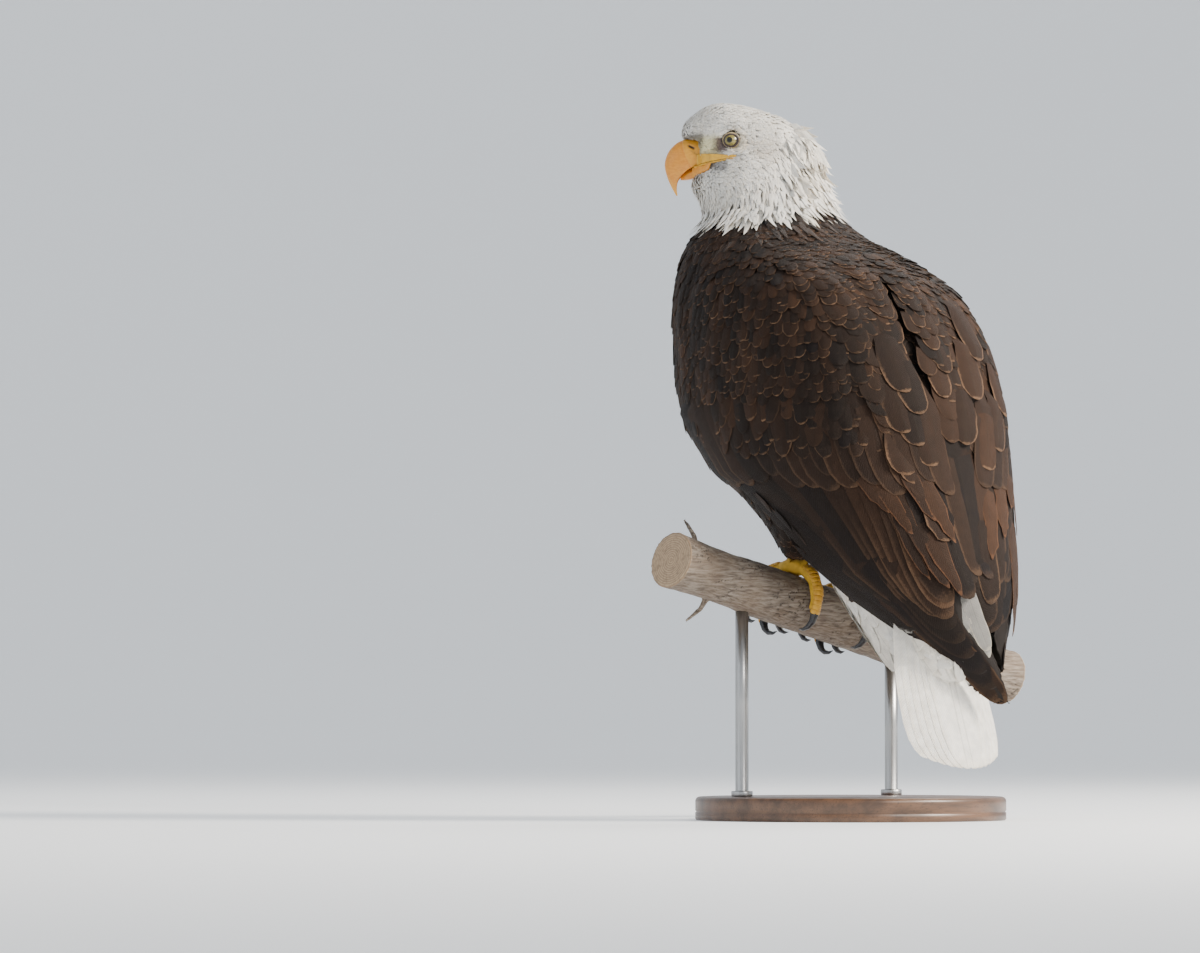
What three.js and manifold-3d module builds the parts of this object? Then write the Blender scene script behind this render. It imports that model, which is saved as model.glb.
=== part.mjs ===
// A life-size bald eagle gripping a cut length of branch, held on a round display stand.
// Millimetres, +Z up. The bird faces -Y, its left side is +X, and its head is turned towards its left.
// The origin is the middle of the stand's underside.
import * as THREE from "three";
import { mergeVertices } from "three/addons/utils/BufferGeometryUtils.js";
import Module from "manifold-3d";

const wasm = await Module();
wasm.setup();

// ---------------------------------------------------------------- driving dimensions
const GAP = 0.35; // clearance left between touching solids
const BASE_RADIUS = 165;
const BASE_HEIGHT = 25;
const ROD_RADIUS = 7;
const ROD_X = 112; // each rod's distance from the middle
const PERCH_Y = -50;
const PERCH_Z = 222; // height of the branch's axis at x = 0
const PERCH_RADIUS = 29;
const PERCH_SLOPE = 0.24; // rise of the branch towards the bird's left
const PERCH_ENDS = [-290, 215];
const FOOT_X = 42;
const TOE_RADIUS = 8.5;
const HEAD_EYES = new THREE.Vector3(20, -161, 732); // between the eyes
const HEAD_TURN = 45; // degrees to the bird's left
const EYE_RADIUS = 10;
const EYE_OUT = 27.5; // from the head's middle plane to the centre of each eyeball

const COLOURS = {
  white: { color: 0xe9e6dc, roughness: 0.85 },
  brown: { color: 0x33241b, roughness: 0.8 },
  yellow: { color: 0xe79c2c, roughness: 0.45 },
  iris: { color: 0xd8cf8e, roughness: 0.15 },
  black: { color: 0x17171a, roughness: 0.35 },
  bark: { color: 0x6f675c, roughness: 0.95 },
  base: { color: 0x3d2b20, roughness: 0.5 },
  steel: { color: 0x8b8d90, roughness: 0.35, metalness: 0.9 },
};

// ---------------------------------------------------------------- helpers
const radians = THREE.MathUtils.degToRad;
const smooth = THREE.MathUtils.smoothstep;
const bell = (x, middle, width) => Math.exp(-(((x - middle) / width) ** 2));

// Reads a table of rows [key, value, value, ...] with a smooth curve between its rows.
function follow(rows) {
  const keys = rows.map((row) => row[0]);
  const values = rows.flatMap((row) => row.slice(1));
  const curve = new THREE.CubicInterpolant(keys, values, rows[0].length - 1);
  return (key) => Array.from(curve.evaluate(key));
}

function spaced(from, to, steps) {
  return Array.from({ length: steps + 1 }, (_, i) => from + ((to - from) * i) / steps);
}

// Distance from the middle of a superellipse to its edge, in the direction of an angle.
function reach(angle, halfX, halfY, power) {
  const sum = Math.abs(Math.cos(angle) / halfX) ** power + Math.abs(Math.sin(angle) / halfY) ** power;
  return sum ** (-1 / power);
}

// A level ring of points moved out by a distance, measured square to each of its sides.
function widened(points, by) {
  return points.map((p, i) => {
    const before = p.clone().sub(points.at(i - 1)).normalize();
    const after = points[(i + 1) % points.length].clone().sub(p).normalize();
    const out = new THREE.Vector3(before.y + after.y, -before.x - after.x, 0).normalize();
    const lean = Math.max(0.3, out.x * before.y - out.y * before.x);
    return p.clone().addScaledVector(out, by / lean);
  });
}

function ring(sides, pointAt) {
  return Array.from({ length: sides }, (_, i) => pointAt((2 * Math.PI * i) / sides));
}

// One closed surface over rings that all have the same number of points.
function loft(rings) {
  const sides = rings[0].length;
  const last = (rings.length - 1) * sides;
  const points = rings.flat();
  const hub = points.length;
  for (const end of [rings[0], rings.at(-1)]) {
    const middle = new THREE.Vector3();
    end.forEach((p) => middle.addScaledVector(p, 1 / sides));
    points.push(middle);
  }
  const faces = [];
  for (let j = 0; j < sides; j++) {
    const next = (j + 1) % sides;
    for (let start = 0; start < last; start += sides) {
      faces.push(start + j, start + next, start + sides + next);
      faces.push(start + j, start + sides + next, start + sides + j);
    }
    faces.push(hub, next, j, hub + 1, last + j, last + next);
  }
  return new THREE.BufferGeometry().setFromPoints(points).setIndex(faces);
}

function solidOf(geometry) {
  const bare = geometry.clone();
  bare.deleteAttribute("normal");
  bare.deleteAttribute("uv");
  const merged = mergeVertices(bare, 1e-3);
  const triVerts = new Uint32Array(merged.index.array);
  const vertProperties = new Float32Array(merged.attributes.position.array);
  const made = new wasm.Manifold(new wasm.Mesh({ numProp: 3, vertProperties, triVerts }));
  if (made.volume() > 0) return made;
  for (let i = 0; i < triVerts.length; i += 3) {
    [triVerts[i + 1], triVerts[i + 2]] = [triVerts[i + 2], triVerts[i + 1]];
  }
  return new wasm.Manifold(new wasm.Mesh({ numProp: 3, vertProperties, triVerts }));
}

function geometryOf(solid) {
  const { vertProperties, triVerts } = solid.getMesh();
  const geometry = new THREE.BufferGeometry();
  geometry.setAttribute("position", new THREE.BufferAttribute(new Float32Array(vertProperties), 3));
  geometry.setIndex(new THREE.BufferAttribute(new Uint32Array(triVerts), 1));
  geometry.computeVertexNormals();
  return geometry;
}

// The same solid with each face moved out by the clearance.
function grown(solid, by = GAP) {
  const geometry = geometryOf(solid);
  const { position, normal } = geometry.attributes;
  const index = geometry.index.array;
  const corner = [new THREE.Vector3(), new THREE.Vector3(), new THREE.Vector3()];
  const facing = new THREE.Vector3();
  const out = new THREE.Vector3();
  const lean = new Float32Array(position.count).fill(1);
  for (let i = 0; i < index.length; i += 3) {
    corner.forEach((c, j) => c.fromBufferAttribute(position, index[i + j]));
    facing.subVectors(corner[2], corner[1]).cross(corner[0].clone().sub(corner[1])).normalize();
    for (const v of index.slice(i, i + 3)) {
      lean[v] = Math.min(lean[v], facing.dot(out.fromBufferAttribute(normal, v)));
    }
  }
  for (let i = 0; i < position.count; i++) {
    out.fromBufferAttribute(normal, i).multiplyScalar(by / Math.max(lean[i], 0.25));
    out.add(corner[0].fromBufferAttribute(position, i));
    position.setXYZ(i, out.x, out.y, out.z);
  }
  return solidOf(geometry);
}

const join = (solids) => solids.reduce((whole, next) => whole.add(next));
const largest = (solid) => solid.decompose().reduce((big, next) => (next.volume() > big.volume() ? next : big));

function carve(solid, cutters) {
  return largest(cutters.reduce((left, cutter) => left.subtract(grown(cutter)), solid));
}

// The part of a solid on the far side of a plane, in the direction of its normal.
function beyond(solid, normal, point) {
  const unit = normal.clone().normalize();
  return largest(solid.trimByPlane(unit.toArray(), unit.dot(point) + GAP / 2));
}

// A round rod along a path, its radius a function of the share of the way along.
function sweep(path, radiusAt, sides, steps) {
  const frames = path.computeFrenetFrames(steps, false);
  return loft(
    spaced(0, 1, steps).map((share, i) => {
      const centre = path.getPointAt(share);
      return ring(sides, (angle) =>
        centre
          .clone()
          .addScaledVector(frames.normals[i], radiusAt(share, angle) * Math.cos(angle))
          .addScaledVector(frames.binormals[i], radiusAt(share, angle) * Math.sin(angle)),
      );
    }),
  );
}

// ---------------------------------------------------------------- trunk and neck
// Level slices: height, middle x and y, half width, half depth, turn in degrees, squareness.
const TORSO = [
  [392, 0, 0, 150, 165, 0, 2.5],
  [419, 0, -9, 153, 172, 0, 2.5],
  [451, 0, -19, 154, 174, 0, 2.5],
  [489, 0, -30, 151, 169, 0, 2.5],
  [527, 0, -42, 146, 162, 0, 2.5],
  [559, 0, -57, 137, 153, 2, 2.4],
  [581, 0, -73, 126, 138, 5, 2.3],
  [600, 1, -91, 117, 118, 10, 2.2],
  [624, 3, -109, 99, 94, 20, 2.1],
  [649, 0, -121, 73, 77, 32, 2],
  [678, 1, -133, 62, 74, 42, 2],
  [700, 2, -138, 57, 70, 45, 2],
  [720, 4, -140, 46, 54, 45, 2],
];
const BELLY = [
  [276, 0, 62, 34, 52, 0, 2],
  [284, 0, 58, 54, 72, 0, 2.1],
  [296, 0, 54, 76, 92, 0, 2.2],
  [314, 0, 47, 99, 112, 0, 2.3],
  [343, 0, 27, 124, 135, 0, 2.4],
  [370, 0, 10, 141, 153, 0, 2.5],
];
// Rump, vent and the soft feathers over and under the root of the tail.
const TAIL_COVERTS = [
  [140, 0, 132, 16, 28, 0, 2],
  [148, 0, 127, 28, 41, 0, 2],
  [163, 0, 118, 38, 55, 0, 2],
  [193, 0, 104, 45, 70, 0, 2.1],
  [230, 0, 86, 51, 82, 0, 2.2],
  [265, 0, 68, 57, 92, 0, 2.2],
  [296, 0, 62, 62, 94, 0, 2.2],
];
const NECK_BASE = { point: new THREE.Vector3(0, -112, 636), normal: new THREE.Vector3(0.05, -0.42, 1) };
const NECK_TOP = { point: new THREE.Vector3(8, -146, 690), normal: new THREE.Vector3(0.42, -0.42, 1) };
const RUMP = { point: new THREE.Vector3(0, 60, 286), normal: new THREE.Vector3(0, 0.25, -1) };

// The share can differ with the height and with the angle from the bird's left.
function slices(rows, levels, sides, shareAt = () => 1) {
  const at = follow(rows);
  return loft(
    levels.map((z) => {
      const [x, y, halfX, halfY, turn, power] = at(z);
      return ring(sides, (angle) => {
        const out = shareAt(z, THREE.MathUtils.radToDeg(angle)) * reach(angle, halfX, halfY, power);
        return new THREE.Vector3(out * Math.cos(angle), out * Math.sin(angle), 0)
          .applyAxisAngle(new THREE.Vector3(0, 0, 1), radians(turn))
          .add(new THREE.Vector3(x, y, z));
      });
    }),
  );
}

const TRUNK_LEVELS = [276, 285, 300, 330, 370, 415, 460, 505, 543, 572, 596, 620, 650, 685, 720];
const TRUNK_SHARE = 0.985; // the wings stand a little proud of the trunk
const BACK_HOLLOW = 0.19; // depth of the hollow between the folded wings
const trunkShare = (z, angle) =>
  TRUNK_SHARE - BACK_HOLLOW * bell(angle, 90, 42) * smooth(z, 290, 350) * (1 - smooth(z, 545, 625));
const bodyWhole = solidOf(slices([...BELLY, ...TORSO], TRUNK_LEVELS, 22, trunkShare));
const covertsWhole = solidOf(slices(TAIL_COVERTS, [140, 148, 163, 193, 230, 265, 296], 16));

// ---------------------------------------------------------------- head
const headForward = new THREE.Vector3(0, -1, 0).applyAxisAngle(new THREE.Vector3(0, 0, 1), radians(HEAD_TURN));
const headLeft = new THREE.Vector3(1, 0, 0).applyAxisAngle(new THREE.Vector3(0, 0, 1), radians(HEAD_TURN));

// A point given as forward, left and up from the point between the eyes.
function onHead(forward, left, up) {
  return HEAD_EYES.clone()
    .addScaledVector(headForward, forward)
    .addScaledVector(headLeft, left)
    .add(new THREE.Vector3(0, 0, up));
}

// Upright slices: how far forward, middle height, half height, half width.
const HEAD = [
  [-100, -36, 14, 14],
  [-95, -33, 24, 24],
  [-82, -25, 34, 35],
  [-60, -13, 38, 40],
  [-36, -7, 38.5, 40],
  [-14, -4, 41, 38],
  [6, -3, 42.5, 35],
  [24, -4, 42, 31.5],
  [36, -1, 32, 26.5],
  [45, 4, 20, 20],
  [50.5, 8, 10, 12],
  [53, 9, 4, 5],
];
const BROW = { rise: 3.4, from: 52, width: 20, middle: 8, length: 20 };
const LORES = { dip: 3.6, at: 4, width: 20, middle: 24, length: 18 };

function headRing(forward, sides) {
  const [middle, halfUp, halfOut] = follow(HEAD)(forward);
  return ring(sides, (angle) => {
    const slope = THREE.MathUtils.radToDeg(Math.atan2(Math.sin(angle), Math.abs(Math.cos(angle))));
    const out = reach(angle, halfOut, halfUp, 2.2);
    const brow = BROW.rise * bell(slope, BROW.from, BROW.width) * bell(forward, BROW.middle, BROW.length);
    const lores = LORES.dip * bell(slope, LORES.at, LORES.width) * bell(forward, LORES.middle, LORES.length);
    const far = out + brow - lores;
    return onHead(forward, far * Math.cos(angle), middle + far * Math.sin(angle));
  });
}
const HEAD_LEVELS = [-100, -94, -80, -56, -30, -10, 6, 18, 29, 38, 46, 51, 53];
const headWhole = solidOf(loft(HEAD_LEVELS.map((forward) => headRing(forward, 18))));

// The bill, as matching lines along its top and bottom edges and its half width between them.
const UPPER_BILL = {
  top: [[34, 3], [44, 2.6], [52, 0.4], [60, -3.6], [68, -12.5], [72, -25], [70, -37.5], [65, -50], [59.4, -60]],
  bottom: [[30, -26], [38, -28.5], [46, -31], [52, -33], [57, -36], [59, -40.5], [59.3, -46], [59, -53], [58, -59.6]],
  half: [15, 14.4, 13.4, 12, 10.2, 8, 5.8, 3.4, 0.9],
};
const LOWER_BILL = {
  top: [[16, -24.5], [24, -26.2], [34, -29.2], [43, -32], [51.5, -34.8]],
  bottom: [[16, -36], [24, -38.5], [34, -41], [43, -42.6], [51.8, -40.6]],
  half: [12.5, 12, 10.8, 8.6, 5],
};

function bill({ top, bottom, half }, sides, steps) {
  const line = (points) => new THREE.CatmullRomCurve3(points.map(([f, u]) => new THREE.Vector3(f, 0, u)));
  const widths = new THREE.CatmullRomCurve3(half.map((w) => new THREE.Vector3(0, w, 0)));
  const over = line(top);
  const under = line(bottom);
  return loft(
    spaced(0, 1, steps).map((share) => {
      const high = over.getPoint(share);
      const low = under.getPoint(share);
      const wide = widths.getPoint(share).y;
      return ring(sides, (angle) => {
        const p = low.clone().lerp(high, 0.5 + 0.5 * Math.sin(angle));
        // The culmen is narrower than the cutting edge.
        const ridge = 1 - 0.18 * Math.max(0, Math.sin(angle)) ** 2;
        return onHead(p.x, wide * ridge * Math.cos(angle), p.z);
      });
    }),
  );
}
const upperBill = solidOf(bill(UPPER_BILL, 12, 12));
const lowerBill = carve(solidOf(bill(LOWER_BILL, 10, 5)), [upperBill]);

function eyeball(side, radius) {
  const centre = onHead(-0.5, side * EYE_OUT, -1);
  return solidOf(new THREE.SphereGeometry(radius, 12, 8).translate(centre.x, centre.y, centre.z));
}
const eyes = { left: eyeball(1, EYE_RADIUS), right: eyeball(-1, EYE_RADIUS) };

// ---------------------------------------------------------------- wings
// Level slices: height, middle x and y, half width, half depth, front and back edge in degrees, thickness.
// x runs out from the bird's middle on the wing's own side.
const WING_ROOT = [
  [310, 0, 60, 118, 126, -32, 90, 15],
  [370, 0, 18, 146, 151, -39, 88, 20],
  [430, 0, -12, 153, 174, -40, 87, 23],
  [500, 0, -32, 150, 168, -37, 85, 24],
  [560, 0, -57, 139, 153, -30, 79, 23],
  [590, 0, -80, 122, 130, -20, 68, 19],
  [612, 0, -99, 105, 107, -6, 50, 11],
  [622, 0, -106, 96, 97, 6, 36, 5],
];
const WING_TIP = {
  left: [
    [122, -45, 180, 4, 9, -60, 110, 2.5],
    [132, -42, 171, 11, 18, -45, 105, 3.5],
    [150, -34, 160, 24, 32, -20, 98, 5],
    [171, -24, 148, 42, 48, -5, 90, 6],
    [205, -12, 128, 67, 70, -15, 78, 8],
    [240, -5, 106, 88, 92, -20, 88, 10],
    [270, -1, 86, 104, 108, -24, 91, 12],
  ],
  right: [
    [156, 50, 168, 4, 8, -60, 110, 2.5],
    [166, 48, 160, 12, 16, -45, 100, 3.5],
    [184, 40, 147, 28, 32, -30, 96, 5],
    [205, 30, 128, 50, 57, -22, 92, 7],
    [240, 10, 102, 83, 92, -22, 92, 10],
    [270, 0, 84, 104, 110, -24, 91, 12],
  ],
};
const WING_LEVELS = [302, 340, 385, 430, 480, 525, 562, 588, 608, 622];
const WING_TUCK = { front: 0.09, back: 0.13 }; // how far the edges turn in, as a share of the wing's reach
const WING_EDGE = 2; // thickness of the edges
const WING_PROUD = 2; // how far it stands out from the body
const WING_POINTS = 10;
const WING_ROOM = 0.6; // clearance left round a wing

// A folded wing, or with some room the slightly larger space it needs.
function wing(name, room = 0) {
  const side = name === "left" ? 1 : -1;
  const at = follow([...WING_TIP[name], ...WING_ROOT]);
  const levels = [...WING_TIP[name].map((row) => row[0]), ...WING_LEVELS];
  levels[0] += WING_ROOM - room;
  levels[levels.length - 1] -= WING_ROOM - room;
  return solidOf(
    loft(
      levels.map((z) => {
        const [x, y, halfX, halfY, front, back, thick] = at(z);
        const surface = (share, inset) => {
          const angle = radians(THREE.MathUtils.lerp(front, back, share));
          const tuck = WING_TUCK.front * (1 - smooth(share, 0, 0.16)) + WING_TUCK.back * smooth(share, 0.78, 1);
          const out = reach(angle, halfX, halfY, 2.4) * (1 - tuck) + WING_PROUD - inset;
          return new THREE.Vector3(side * (x + out * Math.cos(angle)), y + out * Math.sin(angle), z);
        };
        const shares = spaced(0, 1, WING_POINTS - 1);
        const depth = (share) => WING_EDGE + thick * Math.sin(Math.PI * share) ** 0.7;
        const outer = shares.map((share) => surface(share, 0));
        const inner = shares.map((share) => surface(share, depth(share)));
        return widened([...outer, ...inner.reverse()], side * room);
      }),
    ),
  );
}

// ---------------------------------------------------------------- tail
// A folded fan: share of the way to the tip, half width, droop of its edges, half thickness.
const TAIL_ROOT = new THREE.Vector3(0, 92, 330);
const TAIL_TIP = new THREE.Vector3(0, 176, 55);
const TAIL = [
  [0, 26, 6, 7],
  [0.35, 46, 13, 6.5],
  [0.6, 61, 17, 5.5],
  [0.8, 69, 18, 4],
  [0.92, 62, 15, 3],
  [0.98, 44, 9, 2.2],
  [1.0, 28, 5, 1.6],
];
const TAIL_POINTS = 9;

function tailFan() {
  const down = TAIL_TIP.clone().sub(TAIL_ROOT);
  const back = new THREE.Vector3(1, 0, 0).cross(down).normalize(); // out of the tail's upper side
  const at = follow(TAIL);
  return loft(
    [0, 0.15, 0.3, 0.45, 0.6, 0.72, 0.82, 0.9, 0.95, 0.98, 1].map((share) => {
      const [half, droop, thick] = at(share);
      const line = spaced(-1, 1, TAIL_POINTS - 1);
      const point = (across, face) =>
        TAIL_ROOT.clone()
          .addScaledVector(down, share)
          .add(new THREE.Vector3(half * across, 0, 0))
          .addScaledVector(back, face * thick * (1.05 - 0.6 * across ** 2) - droop * across ** 2);
      return [...line.map((a) => point(a, 1)), ...line.reverse().map((a) => point(a, -1))];
    }),
  );
}

// ---------------------------------------------------------------- perch
const perchUp = new THREE.Vector3(-PERCH_SLOPE, 0, 1).normalize();
const perchAxis = (x) => new THREE.Vector3(x, PERCH_Y, PERCH_Z + PERCH_SLOPE * x);

// Thinner and thicker stretches, with none that stands proud under the feet.
function perchRadius(x) {
  const swelling = 1.6 * Math.sin(x / 31) * smooth(Math.abs(x), 80, 130);
  return PERCH_RADIUS + swelling + 0.008 * Math.max(0, -x - 90);
}

function twig(x, angle, lean, length, radius) {
  const round = radians(angle);
  const out = new THREE.Vector3(0, -Math.sin(round), 0).addScaledVector(perchUp, Math.cos(round));
  const start = perchAxis(x).addScaledVector(out, PERCH_RADIUS * 0.6);
  const bend = start.clone().addScaledVector(out, length * 0.6).add(new THREE.Vector3(lean * 0.25, 0, 0));
  const end = start.clone().addScaledVector(out, length).add(new THREE.Vector3(lean, 0, 0));
  const path = new THREE.CatmullRomCurve3([start, bend, end]);
  return solidOf(sweep(path, (share) => radius * (1 - 0.6 * share), 5, 2));
}
const TWIGS = [
  [176, 18, 16, 40, 5.5],
  [150, 165, 20, 34, 5],
  [-215, 150, -18, 38, 6],
  [-250, 25, -16, 36, 6.5],
];
const perchPath = new THREE.LineCurve3(perchAxis(PERCH_ENDS[0]), perchAxis(PERCH_ENDS[1]));
const perchRod = sweep(
  perchPath,
  (share) => perchRadius(THREE.MathUtils.lerp(PERCH_ENDS[0], PERCH_ENDS[1], share)),
  14,
  10,
);
const perch = join([solidOf(perchRod), ...TWIGS.map((row) => twig(...row))]);

// ---------------------------------------------------------------- legs and feet
// Level slices of a feathered thigh: height, x out from the middle, y, half width, half depth.
const THIGH = [
  [266, 46, -25, 17, 18, 0, 2],
  [273, 48, -20, 24, 27, 0, 2],
  [288, 53, -11, 32, 39, 0, 2],
  [311, 59, -6, 42, 54, 0, 2.1],
  [343, 66, -12, 51, 74, 0, 2.2],
  [372, 67, -16, 54, 86, 0, 2.3],
  [400, 63, -10, 50, 80, 0, 2.3],
];
// Toes: name, sideways spread at the end, first and last angle round the branch, claw's bend radius.
const TOES = [
  ["inner", -25, 24, 104, 15],
  ["middle", 0, 24, 120, 16],
  ["outer", 25, 24, 108, 14],
  ["hind", -3, -30, -104, 17],
];
const PAD = [17, 15, 10.5]; // half sizes of the foot's pad
const CLAW = { turn: 128, lift: 34, radius: 5.2 };

// A point at an angle round the branch, forward from its top, at a distance from its axis.
function roundPerch(x, angle, distance) {
  const a = radians(angle);
  return perchAxis(x)
    .addScaledVector(perchUp, distance * Math.cos(a))
    .add(new THREE.Vector3(0, -distance * Math.sin(a), 0));
}

function toe(side, [, spread, from, to]) {
  const x = side * FOOT_X;
  const far = PERCH_RADIUS + TOE_RADIUS + GAP;
  const points = spaced(0, 1, 6).map((share) =>
    roundPerch(x + side * spread * share ** 0.8, THREE.MathUtils.lerp(from * 0.2, to, share), far),
  );
  // Pads swell under each joint.
  const radiusAt = (share) => TOE_RADIUS * (0.97 - 0.22 * share) * (1 + 0.06 * Math.cos(6 * Math.PI * share));
  return solidOf(sweep(new THREE.CatmullRomCurve3(points), radiusAt, 7, 6));
}

function claw(side, [, spread, , to, bend]) {
  const x = side * (FOOT_X + spread);
  const forward = Math.sign(to);
  const far = PERCH_RADIUS + TOE_RADIUS + GAP;
  const start = roundPerch(x, to - forward * 3, far);
  const along = roundPerch(x, to + forward * 87, 1).sub(roundPerch(x, to + forward * 87, 0));
  const out = roundPerch(x, to, 1).sub(roundPerch(x, to, 0));
  // A circle that starts along the toe, tipped outwards by the lift, and curls back to the bark.
  const lift = radians(CLAW.lift);
  const heading = along.clone().multiplyScalar(Math.cos(lift)).addScaledVector(out, Math.sin(lift));
  const inward = along.clone().multiplyScalar(Math.sin(lift)).addScaledVector(out, -Math.cos(lift));
  const points = spaced(0, CLAW.turn, 8).map((turned) => {
    const a = radians(turned);
    return start
      .clone()
      .addScaledVector(heading, bend * Math.sin(a))
      .addScaledVector(inward, bend * (1 - Math.cos(a)));
  });
  return solidOf(
    sweep(new THREE.CatmullRomCurve3(points), (share) => CLAW.radius * (1 - share) ** 0.75 + 0.5, 6, 5),
  );
}

function leg(side) {
  const shift = side * FOOT_X * PERCH_SLOPE; // the branch is higher under the left foot
  const rows = THIGH.map((row) => [row[0] + shift * (1 - smooth(row[0], 266, 400)), ...row.slice(1)]);
  const thigh = slices(rows, rows.map((row) => row[0]), 16);
  if (side < 0) {
    thigh.scale(-1, 1, 1);
  }
  const top = perchAxis(side * FOOT_X).addScaledVector(perchUp, PERCH_RADIUS);
  const ankle = top.clone().add(new THREE.Vector3(side * 5, 26, 52));
  const sole = top.clone().add(new THREE.Vector3(0, -1, 8));
  const shankPath = new THREE.CatmullRomCurve3([ankle, ankle.clone().lerp(sole, 0.5), sole]);
  const shank = solidOf(sweep(shankPath, (share) => 8.6 + 1.6 * (share - 0.4) ** 2, 8, 2));
  const ball = new THREE.SphereGeometry(1, 10, 6).scale(...PAD);
  const pad = solidOf(ball.translate(top.x, top.y - 1, top.z + 7.5));
  return { thigh: solidOf(thigh), shank, pad, top };
}

// ---------------------------------------------------------------- stand
function base() {
  const profile = [
    [0, 0],
    [BASE_RADIUS, 0],
    [BASE_RADIUS, BASE_HEIGHT - 5],
    [BASE_RADIUS - 5, BASE_HEIGHT],
    [0, BASE_HEIGHT],
  ].map(([r, z]) => new THREE.Vector2(r, z));
  return new THREE.LatheGeometry(profile, 32).rotateX(Math.PI / 2);
}

function rod(x) {
  const top = perchAxis(x).z;
  const bottom = BASE_HEIGHT + GAP;
  const shape = new THREE.CylinderGeometry(ROD_RADIUS, ROD_RADIUS, top - bottom, 16).rotateX(Math.PI / 2);
  return carve(solidOf(shape.translate(x, PERCH_Y, (top + bottom) / 2)), [perch]);
}

// ---------------------------------------------------------------- assembly
const model = new THREE.Group();

function add(name, solid, look) {
  const mesh = new THREE.Mesh(geometryOf(solid), new THREE.MeshStandardMaterial(COLOURS[look]));
  mesh.name = name;
  model.add(mesh);
}

const wingRoom = wing("left", WING_ROOM).add(wing("right", WING_ROOM));
const clearOfWings = (solid) => largest(solid.subtract(wingRoom));
const wings = { left: wing("left"), right: largest(wing("right").subtract(wing("left", WING_ROOM))) };
const coverts = beyond(clearOfWings(covertsWhole), RUMP.normal, RUMP.point);
const tail = clearOfWings(carve(solidOf(tailFan()), [covertsWhole]));

const headless = { normal: NECK_TOP.normal.clone().negate(), point: NECK_TOP.point };
const feathered = headWhole.add(bodyWhole);
const aboveNeck = beyond(feathered, NECK_TOP.normal, NECK_TOP.point);
const head = carve(aboveNeck, [upperBill, lowerBill, eyes.left, eyes.right]);
const belowHead = beyond(feathered, headless.normal, headless.point);
const neck = beyond(belowHead, NECK_BASE.normal, NECK_BASE.point);
const belowNeck = beyond(belowHead, NECK_BASE.normal.clone().negate(), NECK_BASE.point);

const legs = { left: leg(1), right: leg(-1) };
const trunkAboveRump = beyond(belowNeck, RUMP.normal.clone().negate(), RUMP.point);
const trunk = clearOfWings(trunkAboveRump);

add("head", head, "white");
add("bill_upper", upperBill, "yellow");
add("bill_lower", lowerBill, "yellow");
add("neck", clearOfWings(neck), "white");
add("trunk", trunk, "brown");
add("tail_coverts", coverts, "white");
add("tail", tail, "white");
for (const name of ["left", "right"]) {
  const side = name === "left" ? 1 : -1;
  const { thigh, shank, pad, top } = legs[name];
  const toes = TOES.map((row) => toe(side, row));
  const limb = join([shank, pad, ...toes]);
  const wholeFoot = carve(limb, [perch]);
  const cut = top.clone().add(new THREE.Vector3(0, 0, 17));
  const up = new THREE.Vector3(0, 0, 1);
  const foot = beyond(wholeFoot, up.clone().negate(), cut);
  const tarsus = carve(beyond(wholeFoot, up, cut), [bodyWhole, covertsWhole]);
  const near = clearOfWings(carve(thigh, [bodyWhole, covertsWhole, limb]));
  add(`eye_${name}`, eyes[name], "iris");
  add(`wing_${name}`, wings[name], "brown");
  add(`thigh_${name}`, near, "brown");
  add(`shank_${name}`, tarsus, "yellow");
  add(`foot_${name}`, foot, "yellow");
  for (const row of TOES) {
    add(`claw_${name}_${row[0]}`, carve(claw(side, row), [foot, perch]), "black");
  }
}
add("perch", perch, "bark");
add("stand_base", solidOf(base()), "base");
add("stand_rod_1", rod(-ROD_X), "steel");
add("stand_rod_2", rod(ROD_X), "steel");

export default model;
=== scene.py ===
"""A bald eagle on its display perch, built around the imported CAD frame.

The pieces are the skin, feathers, bill, eyes, feet, branch and stand. Sizes are millimetres until a mesh is
written. The frame is the CAD's own: the bird faces -Y, its left is +X and +Z is up.
"""

import itertools
import math

import bmesh
import bpy
import numpy as np
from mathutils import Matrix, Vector
from mathutils.bvhtree import BVHTree


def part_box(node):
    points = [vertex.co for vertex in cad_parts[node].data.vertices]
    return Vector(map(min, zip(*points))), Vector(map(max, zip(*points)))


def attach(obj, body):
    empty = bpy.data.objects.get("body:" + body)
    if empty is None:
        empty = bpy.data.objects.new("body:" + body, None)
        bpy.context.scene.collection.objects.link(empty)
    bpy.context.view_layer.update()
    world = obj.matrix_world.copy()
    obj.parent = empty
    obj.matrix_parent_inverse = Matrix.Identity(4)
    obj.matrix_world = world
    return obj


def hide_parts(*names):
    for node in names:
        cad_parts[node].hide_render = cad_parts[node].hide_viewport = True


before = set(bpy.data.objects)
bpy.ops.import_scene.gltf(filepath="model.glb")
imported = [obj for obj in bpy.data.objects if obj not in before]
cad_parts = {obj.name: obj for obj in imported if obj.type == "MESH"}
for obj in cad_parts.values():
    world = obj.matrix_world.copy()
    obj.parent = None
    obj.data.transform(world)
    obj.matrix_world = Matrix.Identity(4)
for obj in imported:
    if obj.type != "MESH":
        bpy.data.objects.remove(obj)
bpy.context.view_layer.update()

MM = 0.001
SEED = 7
FLESH = [
    "head", "neck", "trunk", "tail_coverts", "thigh_left", "thigh_right", "shank_left", "shank_right",
    "foot_left", "foot_right", "wing_left", "wing_right",
]
BODY = FLESH[:8]  # head to shanks
WINGS = FLESH[10:]
LOWER_FLESH = FLESH[2:10]  # trunk to feet: the distances to them part the coats of the lower body
SIGN = {"left": 1, "right": -1}
OUT_OF_REACH = 99.0  # stands for any great distance

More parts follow.
